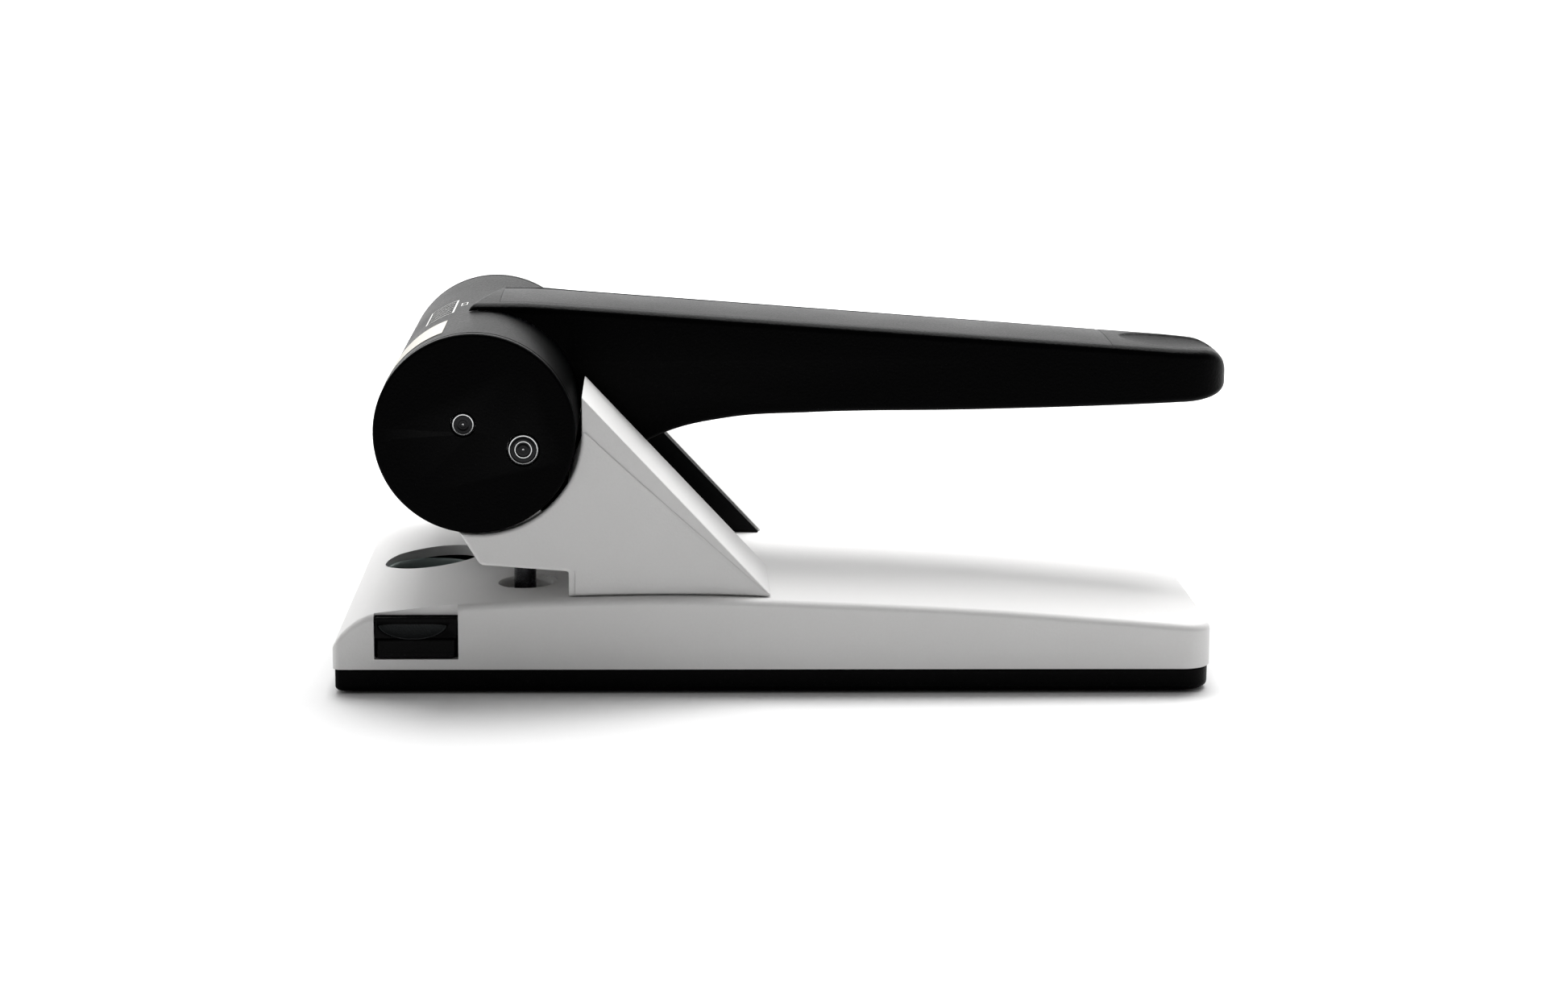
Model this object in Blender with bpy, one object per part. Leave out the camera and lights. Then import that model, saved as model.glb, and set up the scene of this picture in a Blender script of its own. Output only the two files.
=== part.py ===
"""Two-hole desk punch: a base with a paper table, two towers that carry the pins, and one long hand lever.

Units are metres in the scene; the dimensions below are millimetres. X runs from the paper side (-X) to
the tip of the lever (+X), Y runs along the hub and Z is up. The origin is at the middle of the underside.
"""

from math import cos, pi, radians, sin

import bmesh
import bpy
from mathutils import Matrix, Vector

MM = 0.001
GAP = 0.3
ROUND = 24

# Overall sizes
FRONT = -120.0
BASE_LENGTH = 229.0
LEVER_TIP = 120.0
HALF_WIDTH = 63.0
SIDES = {"near": -1, "far": 1}

# Base
TRAY_TOP = 6.3
TRAY_BOTTOM = 0.5
TRAY_FLOOR = 2.1
TRAY_WALL = 2.2
HOUSING_BOTTOM = TRAY_TOP + GAP
NOSE_START = 11.7
NOSE_LENGTH = 11.0
NOSE_TOP = 21.2
NOSE_POWER = 1.5
TABLE_LINE = [(-88, 23.5), (-58, 24.9), (-25, 25.3), (3, 24.4), (45, 22.5), (87, 19.4), (109, 17.6)]
REAR_CORNER = 8.0
FRONT_CORNER = 2.0
HOUSING_WALL = 2.5
PAD_RADIUS = 8.0
PAD_PLACES = [(-102, -46), (-102, 46), (92, -46), (92, 46)]

# Punching line
PIN_X = -71.1
PIN_SPACING = 80.0
PIN_RADIUS = 2.9
PIN_TIP = 21.9
PIN_HEAD_RADIUS = 6.0
PIN_HEAD_BOTTOM = 56.3
PIN_HEAD_TOP = 59.5
DIE_TOP = 22.2
DIE_BOTTOM = 19.4
DIE_RADIUS = 6.5
DIE_BORE = 3.2
DIE_PLATE = (17.4, 19.1)
SPRING_RADIUS = 4.4
SPRING_WIRE = 0.55
SPRING_TURNS = 6
GUIDE_BLOCK_X = (PIN_X - 7.0, PIN_X + 8.0)
GUIDE_BLOCK_Z = (36.8, 40.4)
PLATE_REACH_X = 11.0
PLATE_REACH_Y = 52.0

# Towers
TOWER_OUTER = 59.5
TOWER_INNER = 20.5
CHEEK_THICK = 2.0
TOWER_WALL = 2.2
TOWER_TIP = (-54.5, 77.4)
TOWER_HEEL = (-6.7, 25.5)
THROAT_BACK = -59.1
THROAT_TOP = 31.7
THROAT_FRONT = (-81.9, 33.4)
CRADLE_X, CRADLE_Z, CRADLE_RADIUS = -82.0, 68.4, 27.2
OUTER_CHEEK = (54.0, 56.0)
FOOT_BLOCK_X = (-52.0, -24.0)
FOOT_BLOCK_Y = (28.0, 52.0)
FOOT_BLOCK_Z = (28.0, 34.0)
SCREW_X = (-46.0, -30.0)
SCREW_Y = 40.0
SCREW_HEAD_RADIUS = 3.8
SCREW_RADIUS = 2.0
SCREW_Z = (19.0, 22.0, 33.0)

# Hub and shafts
HUB_X, HUB_Z, HUB_RADIUS = -83.0, 68.0, 25.9
HUB_HALF_LENGTH = 61.0
HUB_WALL = 2.5
HUB_OPENING = (-132.0, -43.0)
CAP_THICK = 2.8
PIVOT_X, PIVOT_Z, PIVOT_RADIUS = -85.8, 70.5, 3.05
DRIVE_X, DRIVE_Z, DRIVE_RADIUS = -70.5, 64.0, 4.1
LEVER_PLATE = (24.0, 26.5)
CLIP_RADIUS = 5.6
CLIP_Y = (52.4, 53.4)
LABEL_TURN = (109.5, 165.0)
LABEL_Y = (-49.7, -26.7)
LABEL_LIFT = (0.25, 0.55)

# Handle
HANDLE_ROOT_HALF = 19.2
HANDLE_TIP_HALF = 17.0
HANDLE_WALL = 2.6
PANEL_HALF = 15.4
PANEL_THICK = 1.2
PANEL_SPAN = (-76.0, 87.0)
CORE_HALF = 6.0

# Paper guide
HEAD_X = (-108.9, -87.8)
HEAD_Z = (9.6, 14.8, 20.4)
HEAD_DEPTH = 9.0
BAR_X = (-106.5, -89.5)
BAR_Z = (11.6, 13.8)
BAR_END = 44.0
WINDOW_X = -98.0
WINDOW_RADIUS = 13.4
BEZEL_Z = (15.6, 19.6)
LENS_Z = (16.0, 17.4)


def clear_scene():
    """Removes whatever the scene already holds."""
    for item in list(bpy.data.objects):
        bpy.data.objects.remove(item, do_unlink=True)


def finish(name, colour, roughness, metallic=0.0):
    """A Principled material of one colour."""
    material = bpy.data.materials.new(name)
    material.use_nodes = True
    shader = material.node_tree.nodes["Principled BSDF"]
    shader.inputs["Base Color"].default_value = (*colour, 1.0)
    shader.inputs["Roughness"].default_value = roughness
    shader.inputs["Metallic"].default_value = metallic
    return material


def axis_empty(name, place):
    """An empty on a joint's axis, which the moving pieces hang from."""
    empty = bpy.data.objects.new(name, None)
    empty.location = Vector(place) * MM
    bpy.context.collection.objects.link(empty)
    return empty


def add_object(name, bm, material, parent=None):
    """Turns a bmesh in millimetres into an object in metres, hung from its axis empty where it has one."""
    bmesh.ops.recalc_face_normals(bm, faces=bm.faces)
    if bm.calc_volume(signed=True) < 0:
        bmesh.ops.reverse_faces(bm, faces=bm.faces)
    bmesh.ops.scale(bm, vec=(MM, MM, MM), verts=bm.verts)
    if parent:
        bmesh.ops.translate(bm, vec=-parent.location, verts=bm.verts)
    mesh = bpy.data.meshes.new(name)
    bm.to_mesh(mesh)
    bm.free()
    item = bpy.data.objects.new(name, mesh)
    bpy.context.collection.objects.link(item)
    item.parent = parent
    if material:
        mesh.materials.append(material)
    return item


def smooth(item, angle=35):
    """Shades the round faces smooth and keeps the edges sharp."""
    item.data.shade_smooth()
    item.data.set_sharp_from_angle(angle=radians(angle))
    return item


def arc(x, z, radius, start, end, steps):
    """Points along a circular arc in the XZ plane, angles in degrees."""
    turns = [radians(start + (end - start) * i / steps) for i in range(steps + 1)]
    return [(x + radius * cos(turn), z + radius * sin(turn)) for turn in turns]


def prism(name, outline, y_low, y_high, material=None, parent=None):
    """An XZ outline carried along Y. A width may also be a function of x."""
    low = y_low if callable(y_low) else lambda x: y_low
    high = y_high if callable(y_high) else lambda x: y_high
    bm = bmesh.new()
    near = [bm.verts.new((x, low(x), z)) for x, z in outline]
    far = [bm.verts.new((x, high(x), z)) for x, z in outline]
    bm.faces.new(near)
    bm.faces.new(list(reversed(far)))
    count = len(outline)
    for i in range(count):
        j = (i + 1) % count
        bm.faces.new((near[j], near[i], far[i], far[j]))
    return add_object(name, bm, material, parent)


def plan_prism(name, outline, z_low, z_high, material=None, parent=None):
    """An XY outline carried along Z."""
    bm = bmesh.new()
    low = [bm.verts.new((x, y, z_low)) for x, y in outline]
    high = [bm.verts.new((x, y, z_high)) for x, y in outline]
    bm.faces.new(list(reversed(low)))
    bm.faces.new(high)
    count = len(outline)
    for i in range(count):
        j = (i + 1) % count
        bm.faces.new((low[i], low[j], high[j], high[i]))
    return add_object(name, bm, material, parent)


def box(name, x, y, z, material=None, parent=None):
    """A block from its low and high x, y and z."""
    return plan_prism(name, [(x[0], y[0]), (x[1], y[0]), (x[1], y[1]), (x[0], y[1])], *z, material, parent)


def turned(name, profile, place, along, material=None, parent=None, steps=ROUND):
    """A closed (radius, height) profile turned about Z, then laid along Y or left upright."""
    bm = bmesh.new()
    rings = []
    for i in range(steps):
        turn = 2 * pi * i / steps
        rings.append([bm.verts.new((r * cos(turn), r * sin(turn), h)) for r, h in profile])
    for i in range(steps):
        here, there = rings[i], rings[(i + 1) % steps]
        for j in range(len(profile)):
            k = (j + 1) % len(profile)
            if profile[j][0] or profile[k][0]:
                bm.faces.new((here[j], there[j], there[k], here[k]))
    bmesh.ops.remove_doubles(bm, verts=bm.verts, dist=1e-5)
    if along == "Y":
        bmesh.ops.rotate(bm, cent=(0, 0, 0), matrix=Matrix.Rotation(-pi / 2, 3, "X"), verts=bm.verts)
    bmesh.ops.translate(bm, vec=place, verts=bm.verts)
    return add_object(name, bm, material, parent)


def rod(name, radius, place, along, low, high, material=None, parent=None, chamfer=0.0, steps=ROUND):
    """A round bar along Y or Z with chamfered ends."""
    profile = [(0, low), (radius - chamfer, low)]
    if chamfer:
        profile += [(radius, low + chamfer), (radius, high - chamfer)]
    profile += [(radius - chamfer, high), (0, high)]
    return smooth(turned(name, profile, place, along, material, parent, steps))


def ring(name, inner, outer, place, along, low, high, material=None, parent=None, steps=ROUND):
    """A tube along Y or Z."""
    profile = [(inner, low), (outer, low), (outer, high), (inner, high)]
    return smooth(turned(name, profile, place, along, material, parent, steps))


def cut(item, cutter):
    """Removes the cutter's shape from the item."""
    cutter.hide_render = True
    cutter.display_type = "WIRE"
    step = item.modifiers.new("cut", "BOOLEAN")
    step.operation = "DIFFERENCE"
    step.solver = "EXACT"
    step.object = cutter


def keep_inside(item, limit):
    """Keeps only what lies inside the limit's shape."""
    limit.hide_render = True
    limit.display_type = "WIRE"
    step = item.modifiers.new("limit", "BOOLEAN")
    step.operation = "INTERSECT"
    step.solver = "EXACT"
    step.object = limit


def soften(item, width, segments=2, angle=40):
    """Rounds the item's sharp edges."""
    step = item.modifiers.new("edges", "BEVEL")
    step.width = width * MM
    step.segments = segments
    step.limit_method = "ANGLE"
    step.angle_limit = radians(angle)


def nose(x):
    """Height of the rounded front of the base: a superellipse quarter from the front up to the table."""
    along = (FRONT + NOSE_LENGTH - x) / NOSE_LENGTH
    rise = max(0.0, 1.0 - max(0.0, along) ** NOSE_POWER) ** (1.0 / NOSE_POWER)
    return NOSE_START + (NOSE_TOP - NOSE_START) * rise


def table(x):
    """Height of the base's top at x: the nose, then a smooth line through the table's points."""
    points = [(FRONT + NOSE_LENGTH, NOSE_TOP)] + TABLE_LINE
    if x <= points[0][0]:
        return nose(x)
    for i in range(len(points) - 1):
        (x0, z0), (x1, z1) = points[i], points[i + 1]
        if x <= x1:
            break
    before = points[max(i - 1, 0)]
    after = points[min(i + 2, len(points) - 1)]
    slope0 = (z1 - before[1]) / (x1 - before[0])
    slope1 = (after[1] - z0) / (after[0] - x0)
    span = x1 - x0
    t = (x - x0) / span
    hermite = (2 * t**3 - 3 * t**2 + 1) * z0 + (t**3 - 2 * t**2 + t) * span * slope0
    return hermite + (3 * t**2 - 2 * t**3) * z1 + (t**3 - t**2) * span * slope1


def top_line(start, end, steps, lift=0.0):
    """Points along the base's top, raised by lift."""
    places = [start + (end - start) * i / steps for i in range(steps + 1)]
    return [(x, table(x) + lift) for x in places]


def rounded_plan(inset):
    """The base's plan: nearly square corners at the front, rounder ones at the rear."""
    x0, x1, y1 = FRONT + inset, FRONT + BASE_LENGTH - inset, HALF_WIDTH - inset
    front, rear = max(FRONT_CORNER - inset, 0.5), REAR_CORNER - inset
    corners = [(x1 - rear, y1 - rear, rear, 90, 0), (x1 - rear, rear - y1, rear, 0, -90)]
    corners += [(x0 + front, front - y1, front, -90, -180), (x0 + front, y1 - front, front, 180, 90)]
    points = []
    for x, y, radius, start, end in corners:
        points += arc(x, y, radius, start, end, 6)
    return list(reversed(points))


def handle_half(x):
    """Half width of the handle at x, tapering to the tip."""
    share = (x + 84.0) / (LEVER_TIP + 84.0)
    return HANDLE_ROOT_HALF + (HANDLE_TIP_HALF - HANDLE_ROOT_HALF) * share


def handle_top(x):
    """Height of the handle's straight top."""
    return 95.7 - 0.0698 * (x + 67.2)


def make_base(white, black, steel, smoke, rubber, tray_axis):
    """Housing, window, dies, chip tray and its pads."""
    outline = [(FRONT, HOUSING_BOTTOM), (FRONT, NOSE_START)]
    outline += top_line(FRONT + 1.0, FRONT + NOSE_LENGTH - 1.0, 5)
    outline += top_line(FRONT + NOSE_LENGTH, FRONT + BASE_LENGTH, 18)
    outline.append((FRONT + BASE_LENGTH, HOUSING_BOTTOM))
    housing = prism("base_housing", outline, -HALF_WIDTH, HALF_WIDTH, white)
    keep_inside(housing, plan_prism("plan_limit", rounded_plan(0.0), 0, 60))
    rear = FRONT + BASE_LENGTH - HOUSING_WALL
    hollow = [(FRONT + HOUSING_WALL, 0), (FRONT + HOUSING_WALL, NOSE_START)]
    hollow += top_line(FRONT + NOSE_LENGTH, rear, 14, -HOUSING_WALL) + [(rear, 0)]
    hollow_cutter = prism("hollow_cutter", hollow, HOUSING_WALL - HALF_WIDTH, HALF_WIDTH - HOUSING_WALL)
    keep_inside(hollow_cutter, plan_prism("hollow_limit", rounded_plan(HOUSING_WALL), -5, 60))
    cut(housing, hollow_cutter)
    slot_x = (HEAD_X[0] - GAP, HEAD_X[1] + GAP)
    slot_y = (-HALF_WIDTH - 1, HEAD_DEPTH + GAP - HALF_WIDTH)
    cut(housing, box("head_slot", slot_x, slot_y, (HEAD_Z[0] - GAP, HEAD_Z[2] + GAP)))
    window = (WINDOW_X, 0, 0)
    cut(housing, rod("window_hole", WINDOW_RADIUS, window, "Z", 15, 30))
    bezel = ring("window_bezel", WINDOW_RADIUS - 1.3, WINDOW_RADIUS - GAP, window, "Z", *BEZEL_Z, smoke)
    soften(bezel, 0.3, 1)
    rod("window_lens", WINDOW_RADIUS - 1.6, window, "Z", *LENS_Z, smoke)

    plate_x = (PIN_X - PLATE_REACH_X, PIN_X + PLATE_REACH_X)
    plate = box("die_plate", plate_x, (-PLATE_REACH_Y, PLATE_REACH_Y), DIE_PLATE, steel)
    for side, sign in SIDES.items():
        place = (PIN_X, sign * PIN_SPACING / 2, 0)
        cut(housing, rod(f"die_hole_{side}", DIE_RADIUS + GAP, place, "Z", 15, 30))
        cut(plate, rod(f"plate_hole_{side}", DIE_BORE + 0.8, place, "Z", 10, 25))
        ring(f"die_ring_{side}", DIE_BORE, DIE_RADIUS, place, "Z", DIE_BOTTOM, DIE_TOP, steel)

    tray = plan_prism("chip_tray", rounded_plan(0.5), TRAY_BOTTOM, TRAY_TOP, black, tray_axis)
    cut(tray, plan_prism("tray_pocket", rounded_plan(0.5 + TRAY_WALL), TRAY_FLOOR, TRAY_TOP + 5))
    for number, (x, y) in enumerate(PAD_PLACES, 1):
        cut(tray, rod(f"pad_pocket_{number}", PAD_RADIUS + GAP, (x, y, 0), "Z", -1, 1.3))
        rod(f"rubber_pad_{number}", PAD_RADIUS, (x, y, 0), "Z", 0, 1.0, rubber, tray_axis, 0.2)


def cradle(start, end, steps, lift=0.0):
    """Points along the hollow that a tower leaves for the hub."""
    return arc(CRADLE_X, CRADLE_Z, CRADLE_RADIUS + lift, start, end, steps)


def tower_outline(middle):
    """The side of a tower: foot on the base, slope, cradle under the hub, and the paper throat in its front.

    middle holds the points between the rear and the front stretch of the cradle.
    """
    foot_end = TOWER_HEEL[0]
    outline = [(THROAT_BACK, THROAT_TOP), (THROAT_BACK, table(THROAT_BACK) + GAP)]
    outline += top_line(-50, foot_end - 5, 4, GAP) + [(foot_end, TOWER_HEEL[1]), TOWER_TIP]
    outline += [(TOWER_TIP[0] - 0.6, TOWER_TIP[1] - 0.4)]
    return outline + cradle(0, -50, 8) + middle + cradle(-86, -101, 3) + [THROAT_FRONT]


def pivot_neck():
    """The part of a cheek inside the hub: it passes behind the drive shaft and ends round the pivot."""
    neck = [(-70.0, 53.0), (-72.5, 57.5), (-79.1, 67.2)]
    neck += arc(PIVOT_X, PIVOT_Z, 7.5, -25, 205, 12)
    return neck + [(-81.5, 44.2)]


def make_towers(white, black, steel):
    """Covers, cheeks, guide blocks, foot blocks and the screws of both towers."""
    cavity = [(-56.6, 27.6), (-12.4, 27.6), (-48.0, 66.0)]
    cavity += cradle(-8, -76, 9, TOWER_WALL)
    cavity += [(-77.5, 36.2), (-56.6, 34.6)]
    outer_outline = [(-56.2, 28), (-32, 28), (-53, 50.5), (-60.5, 47.8), (-65.5, 46.0)]
    outer_outline += pivot_neck() + [(-79.0, 36.7), (-56.2, 35.2)]
    for side, sign in SIDES.items():
        pin = (PIN_X, sign * PIN_SPACING / 2, 0)
        inner_face = TOWER_INNER + CHEEK_THICK + GAP
        cover_y = sorted((sign * TOWER_OUTER, sign * inner_face))
        cover = prism(f"tower_cover_{side}", tower_outline(cradle(-55, -81, 5)), *cover_y, white)
        hollow_y = sorted((sign * (TOWER_OUTER - TOWER_WALL), sign * (inner_face - 1)))
        cut(cover, prism(f"tower_hollow_{side}", cavity, *hollow_y))
        cut(cover, box(f"cradle_slot_{side}", (-82.5, -59.3), hollow_y, (36.4, 60)))
        cut(cover, rod(f"throat_hole_{side}", PIN_RADIUS + 0.6, pin, "Z", 28, 40))

        inner_y = sorted((sign * TOWER_INNER, sign * (TOWER_INNER + CHEEK_THICK)))
        inner = prism(f"inner_cheek_{side}", tower_outline(pivot_neck()), *inner_y, black)
        outer_y = sorted(sign * y for y in OUTER_CHEEK)
        outer = prism(f"outer_cheek_{side}", outer_outline, *outer_y, steel)
        for cheek, name in ((inner, "inner"), (outer, "outer")):
            bore = (f"{name}_pivot_bore_{side}", PIVOT_RADIUS + GAP, (PIVOT_X, 0, PIVOT_Z), "Y")
            cut(cheek, rod(*bore, -70, 70))

        block_y = sorted((sign * (OUTER_CHEEK[0] - GAP), sign * inner_face))
        block = box(f"pin_guide_{side}", GUIDE_BLOCK_X, block_y, GUIDE_BLOCK_Z, steel)
        cut(block, rod(f"guide_bore_{side}", PIN_RADIUS + GAP, pin, "Z", 30, 50))

        foot_y = sorted(sign * y for y in FOOT_BLOCK_Y)
        foot = box(f"foot_block_{side}", FOOT_BLOCK_X, foot_y, FOOT_BLOCK_Z, steel)
        screwed = {"foot": foot, "floor": cover, "table": bpy.data.objects["base_housing"]}
        head_bottom, head_top, end = SCREW_Z
        profile = [(0, head_bottom), (SCREW_HEAD_RADIUS, head_bottom), (SCREW_HEAD_RADIUS, head_top)]
        profile += [(SCREW_RADIUS, head_top), (SCREW_RADIUS, end), (0, end)]
        for number, x in enumerate(SCREW_X, 1):
            place = (x, sign * SCREW_Y, 0)
            for name, item in screwed.items():
                hole = f"{name}_screw_hole_{side}_{number}"
                cut(item, rod(hole, SCREW_RADIUS + 0.4, place, "Z", 15, 40, steps=16))
            smooth(turned(f"frame_screw_{side}_{number}", profile, place, "Z", steel, steps=16))


def spring_mesh(name, place, low, high, material):
    """A round-wire compression spring: a helix of six-sided wire with closed ends."""
    steps, sides = SPRING_TURNS * 10, 5
    rise = high - low - 2 * SPRING_WIRE
    bm = bmesh.new()
    rings = []
    for i in range(steps + 1):
        turn = 2 * pi * i / 10
        height = low + SPRING_WIRE + rise * i / steps
        loop = []
        for j in range(sides):
            round_wire = 2 * pi * j / sides
            radius = SPRING_RADIUS + SPRING_WIRE * cos(round_wire)
            rim = height + SPRING_WIRE * sin(round_wire)
            point = Vector((radius * cos(turn), radius * sin(turn), rim))
            loop.append(bm.verts.new(point + Vector(place)))
        rings.append(loop)
    for here, there in zip(rings, rings[1:]):
        for j in range(sides):
            k = (j + 1) % sides
            bm.faces.new((here[j], there[j], there[k], here[k]))
    bm.faces.new(rings[0])
    bm.faces.new(list(reversed(rings[-1])))
    return smooth(add_object(name, bm, material))


def make_punches(steel, dark_steel, axes):
    """Pins with their heads, and the return springs."""
    for side, sign in SIDES.items():
        place = (PIN_X, sign * PIN_SPACING / 2, 0)
        pin = (f"punch_pin_{side}", PIN_RADIUS, place, "Z", PIN_TIP, PIN_HEAD_BOTTOM - GAP)
        rod(*pin, dark_steel, axes[side], 0.25)
        head = (f"punch_head_{side}", PIN_HEAD_RADIUS, place, "Z", PIN_HEAD_BOTTOM, PIN_HEAD_TOP)
        rod(*head, steel, axes[side], 0.4)
        spring_mesh(f"return_spring_{side}", place, GUIDE_BLOCK_Z[1] + GAP, PIN_HEAD_BOTTOM - GAP, steel)


def make_hub(black, steel, label_white, axis):
    """Hub shell, end caps, plates and shafts of the lever, and the blank label on the shell."""
    centre = (HUB_X, 0, HUB_Z)
    tube_end = HUB_HALF_LENGTH - CAP_THICK - GAP
    tube = (HUB_RADIUS - HUB_WALL, HUB_RADIUS, centre, "Y", -tube_end, tube_end, black, axis, 48)
    shell = ring("hub_shell", *tube)
    sector = [(HUB_X, HUB_Z)] + arc(HUB_X, HUB_Z, HUB_RADIUS * 1.6, *HUB_OPENING, 6)
    cap_profile = [(0, 0), (HUB_RADIUS, 0), (HUB_RADIUS, 1.4), (HUB_RADIUS - 0.45, 2.35)]
    cap_profile += [(HUB_RADIUS - 1.4, CAP_THICK), (0, CAP_THICK)]
    plate_radius = HUB_RADIUS - HUB_WALL - 1.0
    shafts = {"pivot": (PIVOT_RADIUS, PIVOT_X, PIVOT_Z), "drive": (DRIVE_RADIUS, DRIVE_X, DRIVE_Z)}
    for side, sign in SIDES.items():
        opening_y = sorted((sign * (TOWER_INNER - 0.8), sign * (OUTER_CHEEK[1] + 1.2)))
        cut(shell, prism(f"hub_opening_{side}", sector, *opening_y))
        cap_place = (HUB_X, sign * (HUB_HALF_LENGTH - CAP_THICK), HUB_Z)
        profile = [(radius, sign * height) for radius, height in cap_profile]
        cap = smooth(turned(f"hub_cap_{side}", profile, cap_place, "Y", black, axis, 48))
        plate_y = sorted(sign * y for y in LEVER_PLATE)
        plate = rod(f"lever_plate_{side}", plate_radius, centre, "Y", *plate_y, steel, axis, steps=36)
        for name, (radius, x, z) in shafts.items():
            for item, label in ((cap, "cap"), (plate, "plate")):
                cut(item, rod(f"{label}_{name}_bore_{side}", radius + GAP, (x, 0, z), "Y", -70, 70))
    shaft_end = HUB_HALF_LENGTH - 0.1
    pivot = (PIVOT_X, 0, PIVOT_Z)
    rod("pivot_shaft", PIVOT_RADIUS, pivot, "Y", -shaft_end, shaft_end, steel, None, 0.3)
    rod("drive_shaft", DRIVE_RADIUS, (DRIVE_X, 0, DRIVE_Z), "Y", -shaft_end, shaft_end, steel, axis, 0.4)
    for side, sign in SIDES.items():
        clip_y = sorted(sign * y for y in CLIP_Y)
        ring(f"pivot_clip_{side}", PIVOT_RADIUS + GAP, CLIP_RADIUS, pivot, "Y", *clip_y, steel)
    under, over = (HUB_RADIUS + lift for lift in LABEL_LIFT)
    label_outline = arc(HUB_X, HUB_Z, under, *LABEL_TURN, 10)
    label_outline += arc(HUB_X, HUB_Z, over, *reversed(LABEL_TURN), 10)
    prism("blank_label", label_outline, *LABEL_Y, label_white, axis)


def make_handle(black, black_gloss, steel, axis):
    """Handle moulding over the hub, its top panel, its underside and the steel core."""
    tip = arc(113.5, 76.6, 6.5, 62, 0, 5) + arc(113.5, 75.4, 6.5, -8, -60, 4)
    outline = [(-83.8, 93.0), (-83.0, 95.2), (-81.4, 96.0), (-76.0, handle_top(-76)), (87, handle_top(87))]
    outline += [(106, handle_top(106) + 0.2)] + tip
    outline += [(106, 69.1), (93, 68.6), (49, 67.2), (5, 66.4), (-17, 65.0), (-34, 61.0), (-45, 55.4)]
    outline += [(-54, 49.6), (-60, 46.6), (-66, 46.0), (-72, 52.0), (-78, 80.0)]
    body = prism("handle_body", outline, lambda x: -handle_half(x), handle_half, black, axis)
    soften(body, 2.5, 2)
    cut(body, rod("hub_seat", HUB_RADIUS + GAP, (HUB_X, 0, HUB_Z), "Y", -70, 70, steps=48))

    recess_ends = (PANEL_SPAN[0] - GAP, PANEL_SPAN[1] + GAP)
    recess = [(x, handle_top(x) - PANEL_THICK - GAP) for x in recess_ends]
    recess += [(x, handle_top(x) + 5) for x in reversed(recess_ends)]
    cut(body, prism("panel_recess", recess, -PANEL_HALF - GAP, PANEL_HALF + GAP))
    panel = [(x, handle_top(x) - PANEL_THICK) for x in PANEL_SPAN]
    panel += [(x, handle_top(x)) for x in reversed(PANEL_SPAN)]
    prism("handle_top_panel", panel, -PANEL_HALF, PANEL_HALF, black_gloss, axis)

    cavity = [(-22, 60), (-22, 80), (-10, 86), (80, 79.5), (104, 76.5), (108, 72), (108, 60)]
    inner_half = lambda x: handle_half(x) - HANDLE_WALL
    cut(body, prism("handle_cavity", cavity, lambda x: -inner_half(x), inner_half))
    cover = [(-21.5, 64.8), (5, 66.5), (49, 67.3), (93, 68.7), (106, 69.3), (107.6, 69.8)]
    cover += [(107.6, 71.6), (93, 70.6), (49, 69.3), (5, 68.5), (-21.5, 67.0)]
    cover_half = lambda x: inner_half(x) - GAP
    prism("handle_underside", cover, lambda x: -cover_half(x), cover_half, black, axis)
    core = [(-18, 72.5), (76, 72.5), (76, 77.0), (-18, 80.5)]
    prism("lever_core", core, -CORE_HALF, CORE_HALF, steel, axis)


def make_guide(black, grey, axis):
    """The pull-out paper guide: bar, end block and thumb catch."""
    box("guide_bar", BAR_X, (HEAD_DEPTH - HALF_WIDTH + GAP, BAR_END), BAR_Z, grey, axis)
    end_x = (HEAD_X[0] + 0.5, HEAD_X[1] - 0.7)
    end_y = (0.3 - HALF_WIDTH, HEAD_DEPTH - HALF_WIDTH)
    soften(box("guide_end_block", end_x, end_y, (HEAD_Z[0], HEAD_Z[1] - GAP), black, axis), 0.4, 1)
    catch_y = (-HALF_WIDTH, HEAD_DEPTH - HALF_WIDTH)
    soften(box("guide_thumb_catch", HEAD_X, catch_y, HEAD_Z[1:], black, axis), 0.4, 1)


def main():
    """Builds the punch at rest, with the lever down."""
    clear_scene()
    white = finish("white_plastic", (0.80, 0.80, 0.80), 0.55)
    black = finish("black_plastic", (0.016, 0.016, 0.017), 0.5)
    black_panel = finish("black_panel", (0.02, 0.02, 0.021), 0.45)
    black_steel = finish("black_steel", (0.012, 0.012, 0.013), 0.4, 0.5)
    steel = finish("zinc_steel", (0.55, 0.55, 0.54), 0.35, 1.0)
    tool_steel = finish("tool_steel", (0.08, 0.08, 0.085), 0.3, 1.0)
    smoke = finish("window_plastic", (0.42, 0.47, 0.45), 0.12)
    rubber = finish("rubber", (0.02, 0.02, 0.02), 0.85)
    label_white = finish("label_paper", (0.85, 0.83, 0.76), 0.6)

    lever_axis = axis_empty("lever_axis", (PIVOT_X, 0, PIVOT_Z))
    guide_axis = axis_empty("guide_axis", ((BAR_X[0] + BAR_X[1]) / 2, 0, (BAR_Z[0] + BAR_Z[1]) / 2))
    tray_axis = axis_empty("tray_axis", (0, 0, 0))
    punch_axes = {}
    for side, sign in SIDES.items():
        punch_axes[side] = axis_empty(f"punch_axis_{side}", (PIN_X, sign * PIN_SPACING / 2, 0))
    bpy.context.view_layer.update()

    make_base(white, black, steel, smoke, rubber, tray_axis)
    make_towers(white, black_steel, steel)
    make_punches(steel, tool_steel, punch_axes)
    make_hub(black, steel, label_white, lever_axis)
    make_handle(black, black_panel, steel, lever_axis)
    make_guide(black, black, guide_axis)


main()
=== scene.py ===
"""Two-hole desk punch: the looks of every piece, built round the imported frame.

All lengths below are millimetres unless a name says metres. X runs from the paper side to the tip of the lever, Y along
the cross cylinder and Z up; the origin is the middle of the underside.
"""

from __future__ import annotations

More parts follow.
